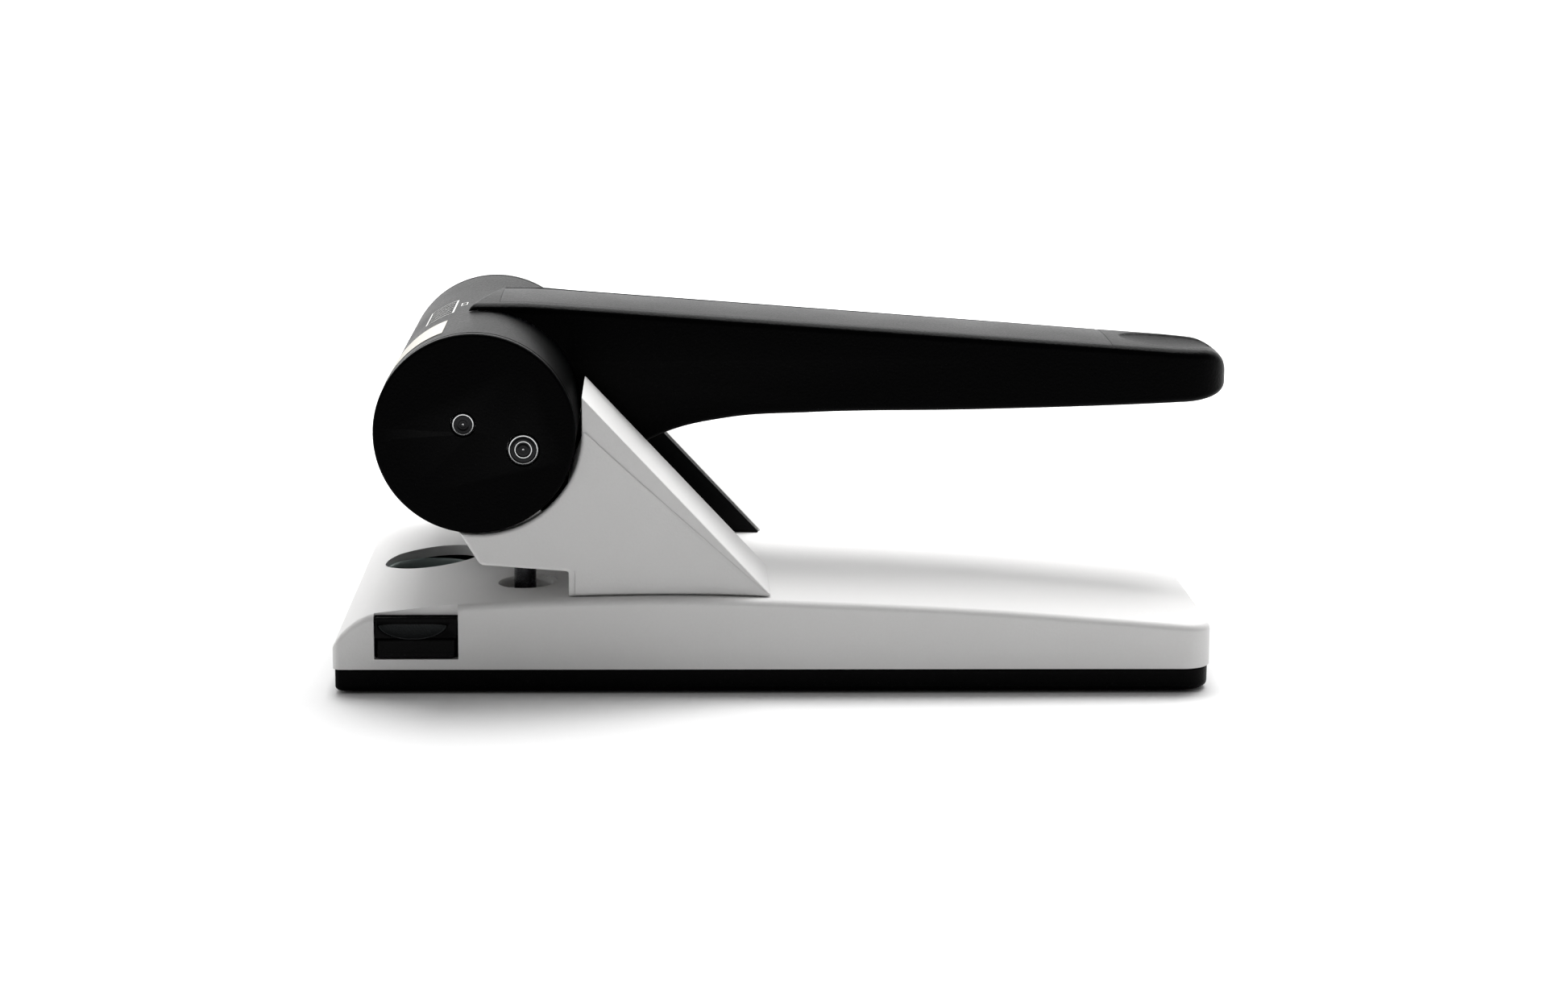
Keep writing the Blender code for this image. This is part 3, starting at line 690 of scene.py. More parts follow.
@dataclass
class Base:
    """White housing, its window, the dies and what bolts the towers down."""

    front: float = -120.0
    rear: float = 109.0
    half: float = 63.0
    bottom: float = 6.6
    nose_start: float = 11.7
    nose_length: float = 11.0
    nose_top: float = 21.2
    nose_power: float = 1.5
    table_x: tuple[float, ...] = (-109.0, -88.0, -58.0, -25.0, 3.0, 45.0, 87.0, 109.0)
    table_z: tuple[float, ...] = (21.2, 23.5, 24.9, 25.3, 24.4, 22.5, 19.4, 17.6)
    crown: float = 0.5
    edge: float = 1.8
    wall: float = 2.5
    front_corner: float = 2.0
    rear_corner: float = 8.0
    window: tuple[float, float] = (-98.0, 13.4)
    dish_lip: float = 1.1
    relief_depth: float = 2.0
    die_bore: float = 3.2

    def table(self, x: Array) -> Array:
        """Height of the top along the length: a superellipse nose, then a smooth line through the table's points.

        Args:
            x: where along the length.

        Returns:
            The heights.
        """
        along = np.clip((self.front + self.nose_length - x) / self.nose_length, 0, 1)
        rise = np.maximum(1 - along**self.nose_power, 0) ** (1 / self.nose_power)
        nose = self.nose_start + (self.nose_top - self.nose_start) * rise
        return np.where(x <= self.table_x[0], nose, smooth_line(x, self.table_x, self.table_z))

    def top(self, x: Array, y: Array, lowered: float = 0.0) -> Array:
        """Height of the outer skin at a point of the plan.

        The table's height, plus a crown that fades to the sides, less the rounded edge along the sides and the rear.

        Args:
            x: along the length.
            y: across.
            lowered: how far the inner skin lies below.

        Returns:
            The heights.
        """
        ramp = np.clip((x - self.front) / 40.0, 0, 1)
        crown = self.crown * ramp * (1 - (y / self.half) ** 2)
        distance = edge_distance(x, y, self.rear, self.half, self.rear_corner)
        return self.table(x) + crown - quarter_drop(distance, self.edge) - lowered

    def shell(self) -> Skin:
        """The housing as one closed bowl.

        Rings climb the wall, roll over the edge and close on the middle line; the inner skin does the same one wall
        further in, and both meet at the lower rim.

        Returns:
            The skin.
        """
        near_edge = np.array([0, 0.02, 0.07, 0.16, 0.3, 0.5, 0.75, 1.05, 1.4, 1.8, 2.4, 3.4, 5.0, 7.0, 9.0, 11.5])
        share = np.concatenate([near_edge / self.half, np.linspace(14.5 / self.half, 1, 16)])
        outer_loop = plan_loop(self.front, self.rear, self.half, self.front_corner, self.rear_corner)
        outer = towards_spine(outer_loop, self.half, share)
        outer_top = self.top(outer[..., 0], outer[..., 1])
        w = self.wall
        inner_loop = plan_loop(self.front + w, self.rear - w, self.half - w, 0.8, self.rear_corner - w)
        inner = towards_spine(inner_loop, self.half - w, share)
        inner_top = np.minimum(self.top(inner[..., 0], inner[..., 1], w), self.table(inner[..., 0]) - w)
        outside = self.climb(outer_loop, outer, outer_top)[::-1]
        return grid(np.concatenate([outside, self.climb(inner_loop, inner, inner_top)]), wrap_columns=True)

    def climb(self, loop: Array, rings: Array, roof: Array) -> Array:
        """Rows of points that climb the wall from the lower rim and then follow the rings to the middle line.

        Args:
            loop: the wall's (n, 2) plan.
            rings: (rings, n, 2) plan of the roof.
            roof: (rings, n) heights of the roof.

        Returns:
            (rows, n, 3) points.
        """
        share = np.linspace(0, 1, 5)[:-1, None]
        plan = np.concatenate([np.broadcast_to(loop, (len(share), *loop.shape)), rings])
        height = np.concatenate([self.bottom + (roof[0] - self.bottom) * share, roof])
        return np.concatenate([plan, height[..., None]], axis=-1)

    def cutters(self) -> list[Skin]:
        """What is cut from the housing: window, dished die holes, guide slot and screw holes.

        Returns:
            The cutters' skins.
        """
        x, radius = self.window
        tools = [rod(radius, 12, 40, (x, 0, 0), steps=128)]
        for side in SIDES:
            _, _, pin, radius = upright(f"die_ring_{side}")
            bore = radius + GAP
            rim = float(self.table(np.array([pin[0]]))[0]) + self.crown * (1 - (pin[1] / self.half) ** 2)
            lip = self.dish_lip
            turn = np.linspace(0, np.pi / 2, 9)
            flare = [(bore + lip * (1 - np.cos(t)), rim - lip + lip * np.sin(t)) for t in turn]
            profile = [(0, 10), (bore, 10), *flare, (bore + lip + 0.6, rim + 0.02), (bore + lip + 0.6, 40), (0, 40)]
            tools.append(lathe(profile, pin, "Z"))
            for number in (1, 2):
                tools.append(rod(SCREW_CLEARANCE, 12, 40, upright(f"frame_screw_{side}_{number}")[2], steps=24))
        low, high = cad("guide_thumb_catch")
        base_low, _ = cad("guide_end_block")
        slot_x, slot_z = (low[0] - GAP, high[0] + GAP), (base_low[2] - GAP, high[2] + GAP)
        tools.append(block(slot_x, (low[1] - 2, high[1] + GAP), slot_z, 0.3))
        (left, right), foot = slot_x, slot_z[0]
        relief = rounded([(left, foot, 0.3), (right, foot, 0.3), (right, 30, 0), (left, 30, 0)])
        tools.append(slab(relief, low[1] - 2, low[1] + self.relief_depth, 0.05))
        return tools

    def build(self) -> None:
        """Makes the housing, window and dies and dresses the hidden steel."""
        piece("housing", self.shell(), WHITE, "base", ["base_housing"], self.cutters())
        self.build_window()
        for side in SIDES:
            low, high, spot, outer = upright(f"die_ring_{side}")
            inner = self.die_bore
            profile = [(inner, low[2]), (outer - 0.3, low[2]), (outer, low[2] + 0.3), (outer, high[2] - 0.3)]
            profile += [(outer - 0.3, high[2]), (inner + 0.5, high[2]), (inner, high[2] - 0.12)]
            piece(f"die_{side}", lathe(profile, spot, "Z"), STEEL, "base", [f"die_ring_{side}"])
            for node in (f"foot_block_{side}", f"frame_screw_{side}_1", f"frame_screw_{side}_2"):
                dress_cad(node, STEEL)
        dress_cad("die_plate", STEEL)

    def build_window(self) -> None:
        """Makes the window's ring wall and the lens under it."""
        low, high = cad("window_bezel")
        x, radius = self.window
        outer = radius - GAP
        profile = [(outer - 1.3, low[2]), (outer, low[2]), (outer, high[2] - 0.3), (outer - 0.3, high[2])]
        profile += [(outer - 0.8, high[2]), (outer - 1.1, high[2] - 0.3), (outer - 1.3, high[2] - 0.9)]
        piece("window_ring", lathe(profile, (x, 0, 0), "Z", 128), SMOKE, "base", ["window_bezel"])
        low, high, _, edge = upright("window_lens")
        dome = [(edge * s, high[2] - 0.5 * s**2) for s in np.linspace(1, 0, 9)]
        profile = [(0, low[2]), (edge, low[2]), *dome]
        piece("window_glass", lathe(profile, (x, 0, 0), "Z"), LENS, "base", ["window_lens"])


# ---------------------------------------------------------------- the towers


@dataclass
class Towers:
    """The two white towers with their black cheeks, pin guides, pins and springs."""

    throat_back: float = -59.1
    throat_top: float = 31.7
    throat_front: tuple[float, float] = (-81.9, 33.4)
    heel: tuple[float, float] = (-6.7, 25.5)
    tip: float = 77.4
    cradle: tuple[float, float, float] = (-82.2, 68.2, 26.6)
    outer: float = 59.5
    inner: float = 20.5
    cheek: float = 2.0
    wall: float = 2.2
    rim: float = 0.9
    pin_bore: float = 3.5
    shaft_bore: float = 3.35
    neck_radius: float = 7.5
    spring_wire: float = 0.55
    spring_turns: float = 6.0
    neck_rear: tuple[tuple[float, float], ...] = ((-70.0, 53.0), (-72.5, 57.5), (-79.1, 67.2))
    neck_front: tuple[float, float] = (-81.5, 44.2)
    hollow_rear: tuple[tuple[float, float], ...] = ((-56.6, 27.6), (-12.4, 27.6), (-48.0, 66.0))
    hollow_front: tuple[tuple[float, float], ...] = ((-77.5, 36.2), (-56.6, 34.6))

    def outline(self, base: Base, neck: Array, trim: float = 0.0) -> Array:
        """The tower's side: throat, foot on the base, slope, tip and the cradle under the hub.

        Args:
            base: gives the height of the table that the foot stands on.
            neck: points between the rear and the front stretch of the cradle.
            trim: how far the slope draws back.

        Returns:
            The outline, anticlockwise.
        """
        heel = (self.heel[0] - trim, self.heel[1])
        foot_x = np.linspace(self.throat_back + 1.0, heel[0] - 1.0, 24)
        foot = np.stack([foot_x, base.table(foot_x) + GAP], -1)
        x, z, radius = self.cradle
        rear, back = x + radius, self.throat_back
        tip = rounded([(*foot[-1], 0), (*heel, 0.4), (rear, self.tip - 1.2 * trim, 0.35), (rear, z, 0)], 4)[1:-1]
        corners = [(*arc(x, z, radius, -101, -101, 0)[0], 0), (*self.throat_front, 1.2)]
        corners += [(back, self.throat_top, 0.7), (back, foot[0, 1], 0.3), (*foot[0], 0)]
        front = rounded(corners, 5)[1:-1]
        rear_stretch, front_stretch = arc(x, z, radius, 0, -50, 26), arc(x, z, radius, -86, -101, 9)
        return np.vstack([foot, tip, rear_stretch, neck, front_stretch, front])

    def build(self, base: Base) -> None:
        """Makes both towers.

        Args:
            base: the base that they stand on.
        """
        x, z, radius = self.cradle
        pivot = middle("pivot_shaft")
        straight = arc(x, z, radius, -52, -84, 16)
        around = arc(pivot[0], pivot[2], self.neck_radius, -25, 205, 40)
        neck = np.vstack([self.neck_rear, around, self.neck_front])
        for side, sign in SIDES.items():
            self.build_cover(base, side, sign, straight)
            low, high = cad(f"inner_cheek_{side}")
            cheek = slab(self.outline(base, neck, 0.7), low[1], high[1], 0.3, 3)
            bore = rod(self.shaft_bore, -70, 70, (pivot[0], 0, pivot[2]), "Y", 48)
            piece(f"cheek_{side}", cheek, CHEEK, "base", [f"inner_cheek_{side}"], [bore])
            for name in ("outer_cheek", "pin_guide", "pivot_clip"):
                dress_cad(f"{name}_{side}", STEEL)
            self.build_punch(side)

    def build_cover(self, base: Base, side: str, sign: int, straight: Array) -> None:
        """Makes one white cover, hollow behind its walls.

        Args:
            base: the base that it stands on.
            side: "near" or "far".
            sign: -1 for near and 1 for far.
            straight: the middle stretch of the cradle.
        """
        low, high = cad(f"tower_cover_{side}")
        x, z, radius = self.cradle
        hollow = np.vstack([self.hollow_rear, arc(x, z, radius + self.wall, -8, -76, 24), self.hollow_front])
        inner_face = self.inner + self.cheek + GAP
        depth = sorted((sign * (self.outer - self.wall), sign * (inner_face - 1)))
        tools = [slab(hollow, depth[0], depth[1], 0.05, 1), block((-82.5, -59.3), depth, (36.4, 60), 0.05)]
        tools.append(rod(self.pin_bore, 28, 42, upright(f"punch_pin_{side}")[2], steps=48))
        screws = [upright(f"frame_screw_{side}_{number}")[2] for number in (1, 2)]
        tools += [rod(SCREW_CLEARANCE, 20, 32, spot, steps=24) for spot in screws]
        face = sign * self.outer
        groove_x = self.throat_back + 1.5
        groove = sorted((face + sign, face - sign * 0.35))
        tools.append(block((groove_x, groove_x + 0.22), groove, (20, self.throat_top + 0.4), 0.02))
        cover = slab(self.outline(base, straight), low[1], high[1], self.rim, 6)
        flatten(piece(f"tower_{side}", cover, WHITE, "base", [f"tower_cover_{side}"], tools))

    def build_punch(self, side: str) -> None:
        """Makes one pin with its head and return spring.

        Args:
            side: "near" or "far".
        """
        low, high, spot, radius = upright(f"punch_pin_{side}")
        profile = [(0, low[2] + 0.9), (radius - 0.5, low[2] + 0.1), (radius - 0.15, low[2]), (radius, low[2] + 0.15)]
        profile += [(radius, high[2] - 0.3), (radius - 0.3, high[2]), (0, high[2])]
        piece(f"pin_{side}", lathe(profile, spot, "Z", 64), TOOL, f"punch_{side}", [f"punch_pin_{side}"])
        low, high, _, radius = upright(f"punch_head_{side}")
        profile = [(0, low[2]), (radius - 0.3, low[2]), (radius, low[2] + 0.3), (radius, high[2] - 0.6)]
        profile += [(radius - 0.6, high[2]), (0, high[2])]
        piece(f"pin_head_{side}", lathe(profile, spot, "Z", 64), STEEL, f"punch_{side}", [f"punch_head_{side}"])
        self.build_spring(side, spot)

    def build_spring(self, side: str, spot: Array) -> None:
        """Makes a compression spring.

        The wire's centre is (R cos t, R sin t, h(t)), where h rises slowly in the first and last turn, and a circle of
        the wire's radius is carried along it.

        Args:
            side: "near" or "far".
            spot: centre of the pin.
        """
        low, high, _, outer = upright(f"return_spring_{side}")
        wire, turns = self.spring_wire, self.spring_turns
        radius = outer - wire
        t = np.linspace(0, 1, 361)[:, None]
        around = 2 * np.pi * np.linspace(0, 1, 12, endpoint=False)[None]
        rise = np.clip((t * turns - 0.6) / (turns - 1.2), 0, 1)
        height = low[2] + wire + (high[2] - low[2] - 2 * wire) * rise
        reach = radius + wire * np.cos(around)
        turn = 2 * np.pi * turns * t
        points = np.stack([spot[0] + reach * np.cos(turn), spot[1] + reach * np.sin(turn),
                           height + wire * np.sin(around)], axis=-1)
        piece(f"spring_{side}", capped(points), STEEL, "base", [f"return_spring_{side}"])


# ---------------------------------------------------------------- the lever


@dataclass
class Hub:
    """The black cross cylinder with its caps, shafts and plates, the blank label and the page sign."""

    x: float = -83.0
    z: float = 68.0
    radius: float = 25.9
    wall: float = 2.5
    cap_roll: float = 0.8
    opening: tuple[float, float] = (-132.0, -43.0)
    label_turn: tuple[float, float] = (109.5, 165.0)
    label_y: tuple[float, float] = (-49.7, -26.7)
    sign_turn: tuple[float, float] = (108.0, 127.0)
    sign_y: tuple[float, float] = (-12.5, 12.5)

    def build(self) -> None:
        """Makes the whole hub."""
        self.build_shell()
        for side, sign in SIDES.items():
            self.build_cap(side, sign)
            dress_cad(f"lever_plate_{side}", STEEL)
        self.build_shaft("pivot_shaft", "pivot_pin", PIVOT_STEEL, "base")
        self.build_shaft("drive_shaft", "drive_pin", DRIVE_STEEL, "lever")
        self.build_graphics()

    def build_shell(self) -> None:
        """Makes the tube with the two openings that the cheeks and pins reach through."""
        low, high = cad("hub_shell")
        r, e = self.radius, 0.35
        profile = [(r - self.wall, low[1]), (r - e, low[1]), (r, low[1] + e), (r, high[1] - e), (r - e, high[1]),
                   (r - self.wall, high[1])]
        outside = arc(self.x, self.z, r * 1.6, *self.opening, 12)
        sector = np.vstack([[(self.x, self.z)], outside])
        tools = [slab(sector, *sorted((sign * 19.7, sign * 57.2)), 0.05, 1) for sign in SIDES.values()]
        piece("hub_tube", lathe(profile, (self.x, 0, self.z), "Y", 192), BLACK, "lever", ["hub_shell"], tools)

    def build_cap(self, side: str, sign: int) -> None:
        """Makes one end cap with a rolled rim and the two bores.

        Args:
            side: "near" or "far".
            sign: -1 for near and 1 for far.
        """
        low, high = cad(f"hub_cap_{side}")
        inside, outside = (high[1], low[1]) if sign < 0 else (low[1], high[1])
        roll = self.cap_roll
        turn = np.linspace(0, np.pi / 2, 9)
        rim = [(self.radius - roll + roll * np.cos(t), outside - sign * roll * (1 - np.sin(t))) for t in turn]
        profile = [(0, inside), (self.radius - 0.3, inside), (self.radius, inside + sign * 0.3), *rim]
        profile += [(self.radius - roll - 0.4, outside), (0, outside)]
        cap = lathe(profile, (self.x, 0, self.z), "Y", 192)
        tools = []
        for node in ("pivot_shaft", "drive_shaft"):
            shaft_low, shaft_high = cad(node)
            spot, bore = (shaft_low + shaft_high) / 2, (shaft_high[0] - shaft_low[0]) / 2 + 0.25
            tools.append(rod(bore, -80, 80, (spot[0], 0, spot[2]), "Y"))
        flatten(piece(f"cap_{side}", cap, BLACK, "lever", [f"hub_cap_{side}"], tools))

    def build_shaft(self, node: str, name: str, finish: Finish, body: str) -> None:
        """Makes a steel shaft whose turned ends show a rim with a painted highlight, shallow rings and a centre
        drilling.

        Args:
            node: the CAD node.
            name: the piece's name.
            finish: its finish.
            body: the body it rides on.
        """
        low, high = cad(node)
        radius, end, spot = (high[0] - low[0]) / 2, high[1], (low + high) / 2
        rings = [(0.36, -0.1), (0.4, -0.16), (0.46, -0.1), (0.74, -0.08), (0.78, -0.14), (0.82, -0.06)]
        face = [(0, -0.45), (0.32, -0.12), (0.45, -0.1), *[(radius * share, h) for share, h in rings]]
        face += [(radius - 0.42, -0.04), (radius - 0.3, 0.0), (radius - 0.16, 0.0), (radius, -0.2)]
        profile = [(r, end + h) for r, h in face] + [(r, -end - h) for r, h in reversed(face)]
        piece(name, lathe(profile, (spot[0], 0, spot[2]), "Y"), finish, body, [node], angle=25)

    def patch(self, turn: tuple[float, float], y: tuple[float, float], lift: float, thick: float) -> Skin:
        """A thin closed patch that hugs the cylinder.

        Points are at radius R + lift and R + lift + thick over the given turn and y.

        Args:
            turn: first and last angle in degrees.
            y: first and last y.
            lift: clearance over the cylinder.
            thick: thickness.

        Returns:
            The closed skin.
        """
        count = max(3, int(abs(turn[1] - turn[0]) / 1.5) + 2)
        angle = np.radians(np.linspace(*turn, count))[:, None]
        low, high = self.radius + lift, self.radius + lift + thick
        reach = np.array([low, low, high, high])[None]
        across = np.broadcast_to([y[0], y[1], y[1], y[0]], (count, 4))
        points = np.stack([self.x + reach * np.cos(angle), across, self.z + reach * np.sin(angle)], axis=-1)
        return capped(points)

    def build_graphics(self) -> None:
        """Makes the blank label and a plain sheet-of-paper sign with the mark of the punching line."""
        piece("label", self.patch(self.label_turn, self.label_y, 0.02, 0.12), LABEL, "lever", ["blank_label"])
        start, end = self.sign_turn
        low, high = self.sign_y
        spans = [((start, start + 1.1), self.sign_y), ((end - 1.0, end), self.sign_y)]
        spans += [((start, end), (low, low + 0.45)), ((start, end), (high - 0.45, high))]
        lines = low + (high - low) * np.array([0.2, 0.36, 0.52, 0.68, 0.84])
        spans += [((start + 2.4, end - 2.2), (y - 0.18, y + 0.18)) for y in lines]
        spans += [((100.9, 101.5), (-2.6, 2.6)), ((104.3, 104.9), (-2.6, 2.6)), ((101.5, 104.3), (-2.6, -2.1)),
                  ((101.5, 104.3), (2.1, 2.6))]
        piece("page_sign", reduce(Skin.joined, [self.patch(*span, 0.01, 0.05) for span in spans]), INK, "lever")


@dataclass
class Handle:
    """The hand lever: body over the hub, top panel, underside cover and steel core."""

    root: float = -83.2
    tip: float = 120.0
    root_half: float = 19.2
    tip_half: float = 17.0
    top_radius: float = 2.8
    crown: float = 0.6
    bottom_radius: float = 1.6
    dish: tuple[float, float, float, float] = (104.0, 12.8, 12.2, 1.5)
    panel_half: float = 15.4
    panel_span: tuple[float, float] = (-78.5, 87.0)
    rim_height: float = 0.05
    seam_shift: float = -0.22
    line_height: float = 96.1
    line_slope: float = 0.0698
    line_start: float = -67.2
    level_stretch: float = 2.6
    lip_roll: float = 2.2
    tip_roll: tuple[float, float] = (7.5, 0.9)
    under_roll: tuple[float, float] = (14.0, 0.32)
    taper_start: float = -84.0
    tip_length: float = 20.0
    tip_power: float = 2.7
    slant: float = 0.2
    slant_span: tuple[float, float] = (-60.0, 20.0)
    cavity: tuple[tuple[float, float], ...] = ((-22, 60), (108, 60), (108, 72), (104, 76.5), (80, 79.5), (-10, 86),
                                               (-22, 80))
    cover: tuple[tuple[float, float], ...] = ((-21.5, 64.8), (5, 66.5), (49, 67.3), (93, 68.7), (106, 69.3),
                                              (107.6, 69.8), (107.6, 71.6), (93, 70.6), (49, 69.3), (5, 68.5),
                                              (-21.5, 67.0))
    under_x: tuple[float, ...] = (-90.0, -72.0, -64.0, -60.0, -54.0, -45.0, -34.0, -17.0, 5.0, 49.0, 93.0, 106.0)
    under_z: tuple[float, ...] = (50.0, 48.0, 46.2, 46.8, 49.6, 55.4, 61.0, 65.0, 66.4, 67.2, 68.6, 69.2)

    def top(self, x: Array) -> Array:
        """Height of the top line: straight, rolling down at the lip over the hub and at the tip.

        Args:
            x: along the lever.

        Returns:
            The heights.
        """
        line = self.line_height - self.line_slope * np.maximum(x - self.line_start, -self.level_stretch)
        lip = quarter_drop(np.clip(x - self.root, 0, None), self.lip_roll)
        return line - lip - self.rolled(x, *self.tip_roll)

    def under(self, x: Array) -> Array:
        """Height of the underside: a smooth line that climbs out of the hub and runs flat to the tip.

        Args:
            x: along the lever.

        Returns:
            The heights.
        """
        return smooth_line(x, self.under_x, self.under_z) + self.rolled(x, *self.under_roll)

    def rolled(self, x: Array, roll: float, share: float) -> Array:
        """How far a share of a rounded end has carried a line away where the handle nears its tip."""
        reach = np.clip(x - (self.tip - roll), 0, roll)
        return share * (roll - np.sqrt(roll**2 - reach**2))

    def half(self, x: Array) -> Array:
        """Half width: a slow taper, closed at the tip by a superellipse.

        Args:
            x: along the lever.

        Returns:
            The half widths.
        """
        share = np.clip((x - self.taper_start) / (self.tip - self.taper_start), 0, 1)
        taper = self.root_half + (self.tip_half - self.root_half) * share
        end = np.clip((x - (self.tip - self.tip_length)) / self.tip_length, 0, 1)
        return taper * np.maximum(1 - end**self.tip_power, 0) ** (1 / self.tip_power)

    def body(self) -> Skin:
        """The handle as sections along x.

        Each section is a rounded rectangle: a gently crowned top, rolled upper corners, straight sides and tight lower
        corners. The thumb dish sinks the top inside an ellipse.

        Returns:
            The closed skin.
        """
        run = np.concatenate([np.linspace(self.root, -80, 12)[:-1], np.linspace(-80, 86, 84)[:-1],
                              np.linspace(86, 112, 53)[:-1], 112 + 7.97 * np.sin(np.linspace(0, np.pi / 2, 20))])
        x = run[:, None]
        top, under, half = self.top(x), self.under(x), self.half(x)
        tall = top - under
        upper = np.minimum(self.top_radius, np.minimum(0.42 * tall, 0.6 * half + 1e-6))
        lower = np.minimum(self.bottom_radius, np.minimum(0.2 * tall, 0.4 * half + 1e-6))
        a = np.linspace(0, np.pi / 2, 10)[None]
        across = np.linspace(1, -1, 61)[None, 1:-1]
        side = np.linspace(0, 1, 8)[None, 1:-1]
        y_parts = [half * np.ones_like(side), half - upper + upper * np.cos(a), (half - upper) * across,
                   -(half - upper) - upper * np.sin(a), -half * np.ones_like(side),
                   -(half - lower) - lower * np.cos(a), (half - lower) * -across, half - lower + lower * np.sin(a)]
        side_z = under + lower + (tall - upper - lower) * side
        z_parts = [side_z, top - upper + upper * np.sin(a), top * np.ones_like(across), top - upper + upper * np.cos(a),
                   side_z[:, ::-1], under + lower - lower * np.sin(a), under * np.ones_like(across),
                   under + lower - lower * np.cos(a)]
        y, z = np.concatenate(y_parts, 1), np.concatenate(z_parts, 1)
        fall = self.crown * np.clip(y / np.maximum(half, 1e-6), -1, 1) ** 2 * np.clip(half / 6, 0, 1)
        on_top = np.clip((z - (top - 0.5 * upper)) / np.maximum(0.5 * upper, 1e-6), 0, 1)
        centre, long, wide, depth = self.dish
        ellipse = ((x - centre) / long) ** 2 + (y / wide) ** 2
        sink = depth * np.clip(1 - ellipse, 0, 1) ** 0.45
        z = z - on_top * (fall + sink)
        slant = self.slant * np.clip((self.slant_span[0] - x) / self.slant_span[1], 0, 1)
        points = np.stack([x + slant * y, y, z], axis=-1)
        return capped(points)

    def panel(self, shrink: float, low: float, high: float) -> Skin:
        """The panel's slab: a straight band along the top line, low to high above it.

        Args:
            shrink: how far inside the recess its edge lies.
            low: height of its underside against the top line.
            high: height of its upper face against the top line.

        Returns:
            The closed skin.
        """
        start, end = self.panel_span
        x = np.linspace(start + 0.15 * shrink, end - 0.15 * shrink, 48)[:, None]
        reach = self.panel_half - shrink
        across = np.linspace(-1, 1, 25)[None]
        y = reach * across + self.seam_shift * min(1.0, shrink / GAP)
        soft = 0.12 * np.clip((np.abs(across) - 0.94) / 0.06, 0, 1) ** 2 * min(1.0, shrink / GAP)
        upper = self.top(x) + high - self.crown * (y / self.half(x)) ** 2 - soft
        lower = self.top(x) + low + 0 * y
        xs = np.broadcast_to(x, upper.shape)
        ys = np.broadcast_to(y, upper.shape)
        ring_y = np.concatenate([ys, ys[:, ::-1]], 1)
        ring_z = np.concatenate([upper, lower[:, ::-1]], 1)
        points = np.stack([np.concatenate([xs, xs], 1), ring_y, ring_z], -1)
        return capped(points)

    def build(self, hub: Hub) -> None:
        """Makes the handle's pieces.

        Args:
            hub: the hub that the handle sits on.
        """
        seat = hub.radius + GAP
        tools = [rod(seat, -70, 70, (hub.x, 0, hub.z), "Y", 192)]
        tools.append(self.panel(0.0, -1.6, 4.0))
        tools.append(slab(np.array(self.cavity, float), -13.5, 13.5, 0.05, 1))
        end = self.panel_span[1]
        level = float(self.top(np.array(end)))
        side = (self.panel_half - 0.9, self.panel_half + 0.5)
        tools.append(block((end - 0.6, end + 3.4), side, (level - 2, level + 3), 0.2))
        piece("handle", self.body(), BLACK, "lever", ["handle_body"], tools, 38)
        piece("top_panel", self.panel(0.3, -1.25, -self.rim_height), PANEL, "lever", ["handle_top_panel"])
        cover = slab(np.array(self.cover, float), -13.2, 13.2, 0.4, 3)
        piece("underside_cover", cover, BLACK, "lever", ["handle_underside"])
        dress_cad("lever_core", STEEL)


# ---------------------------------------------------------------- guide and tray


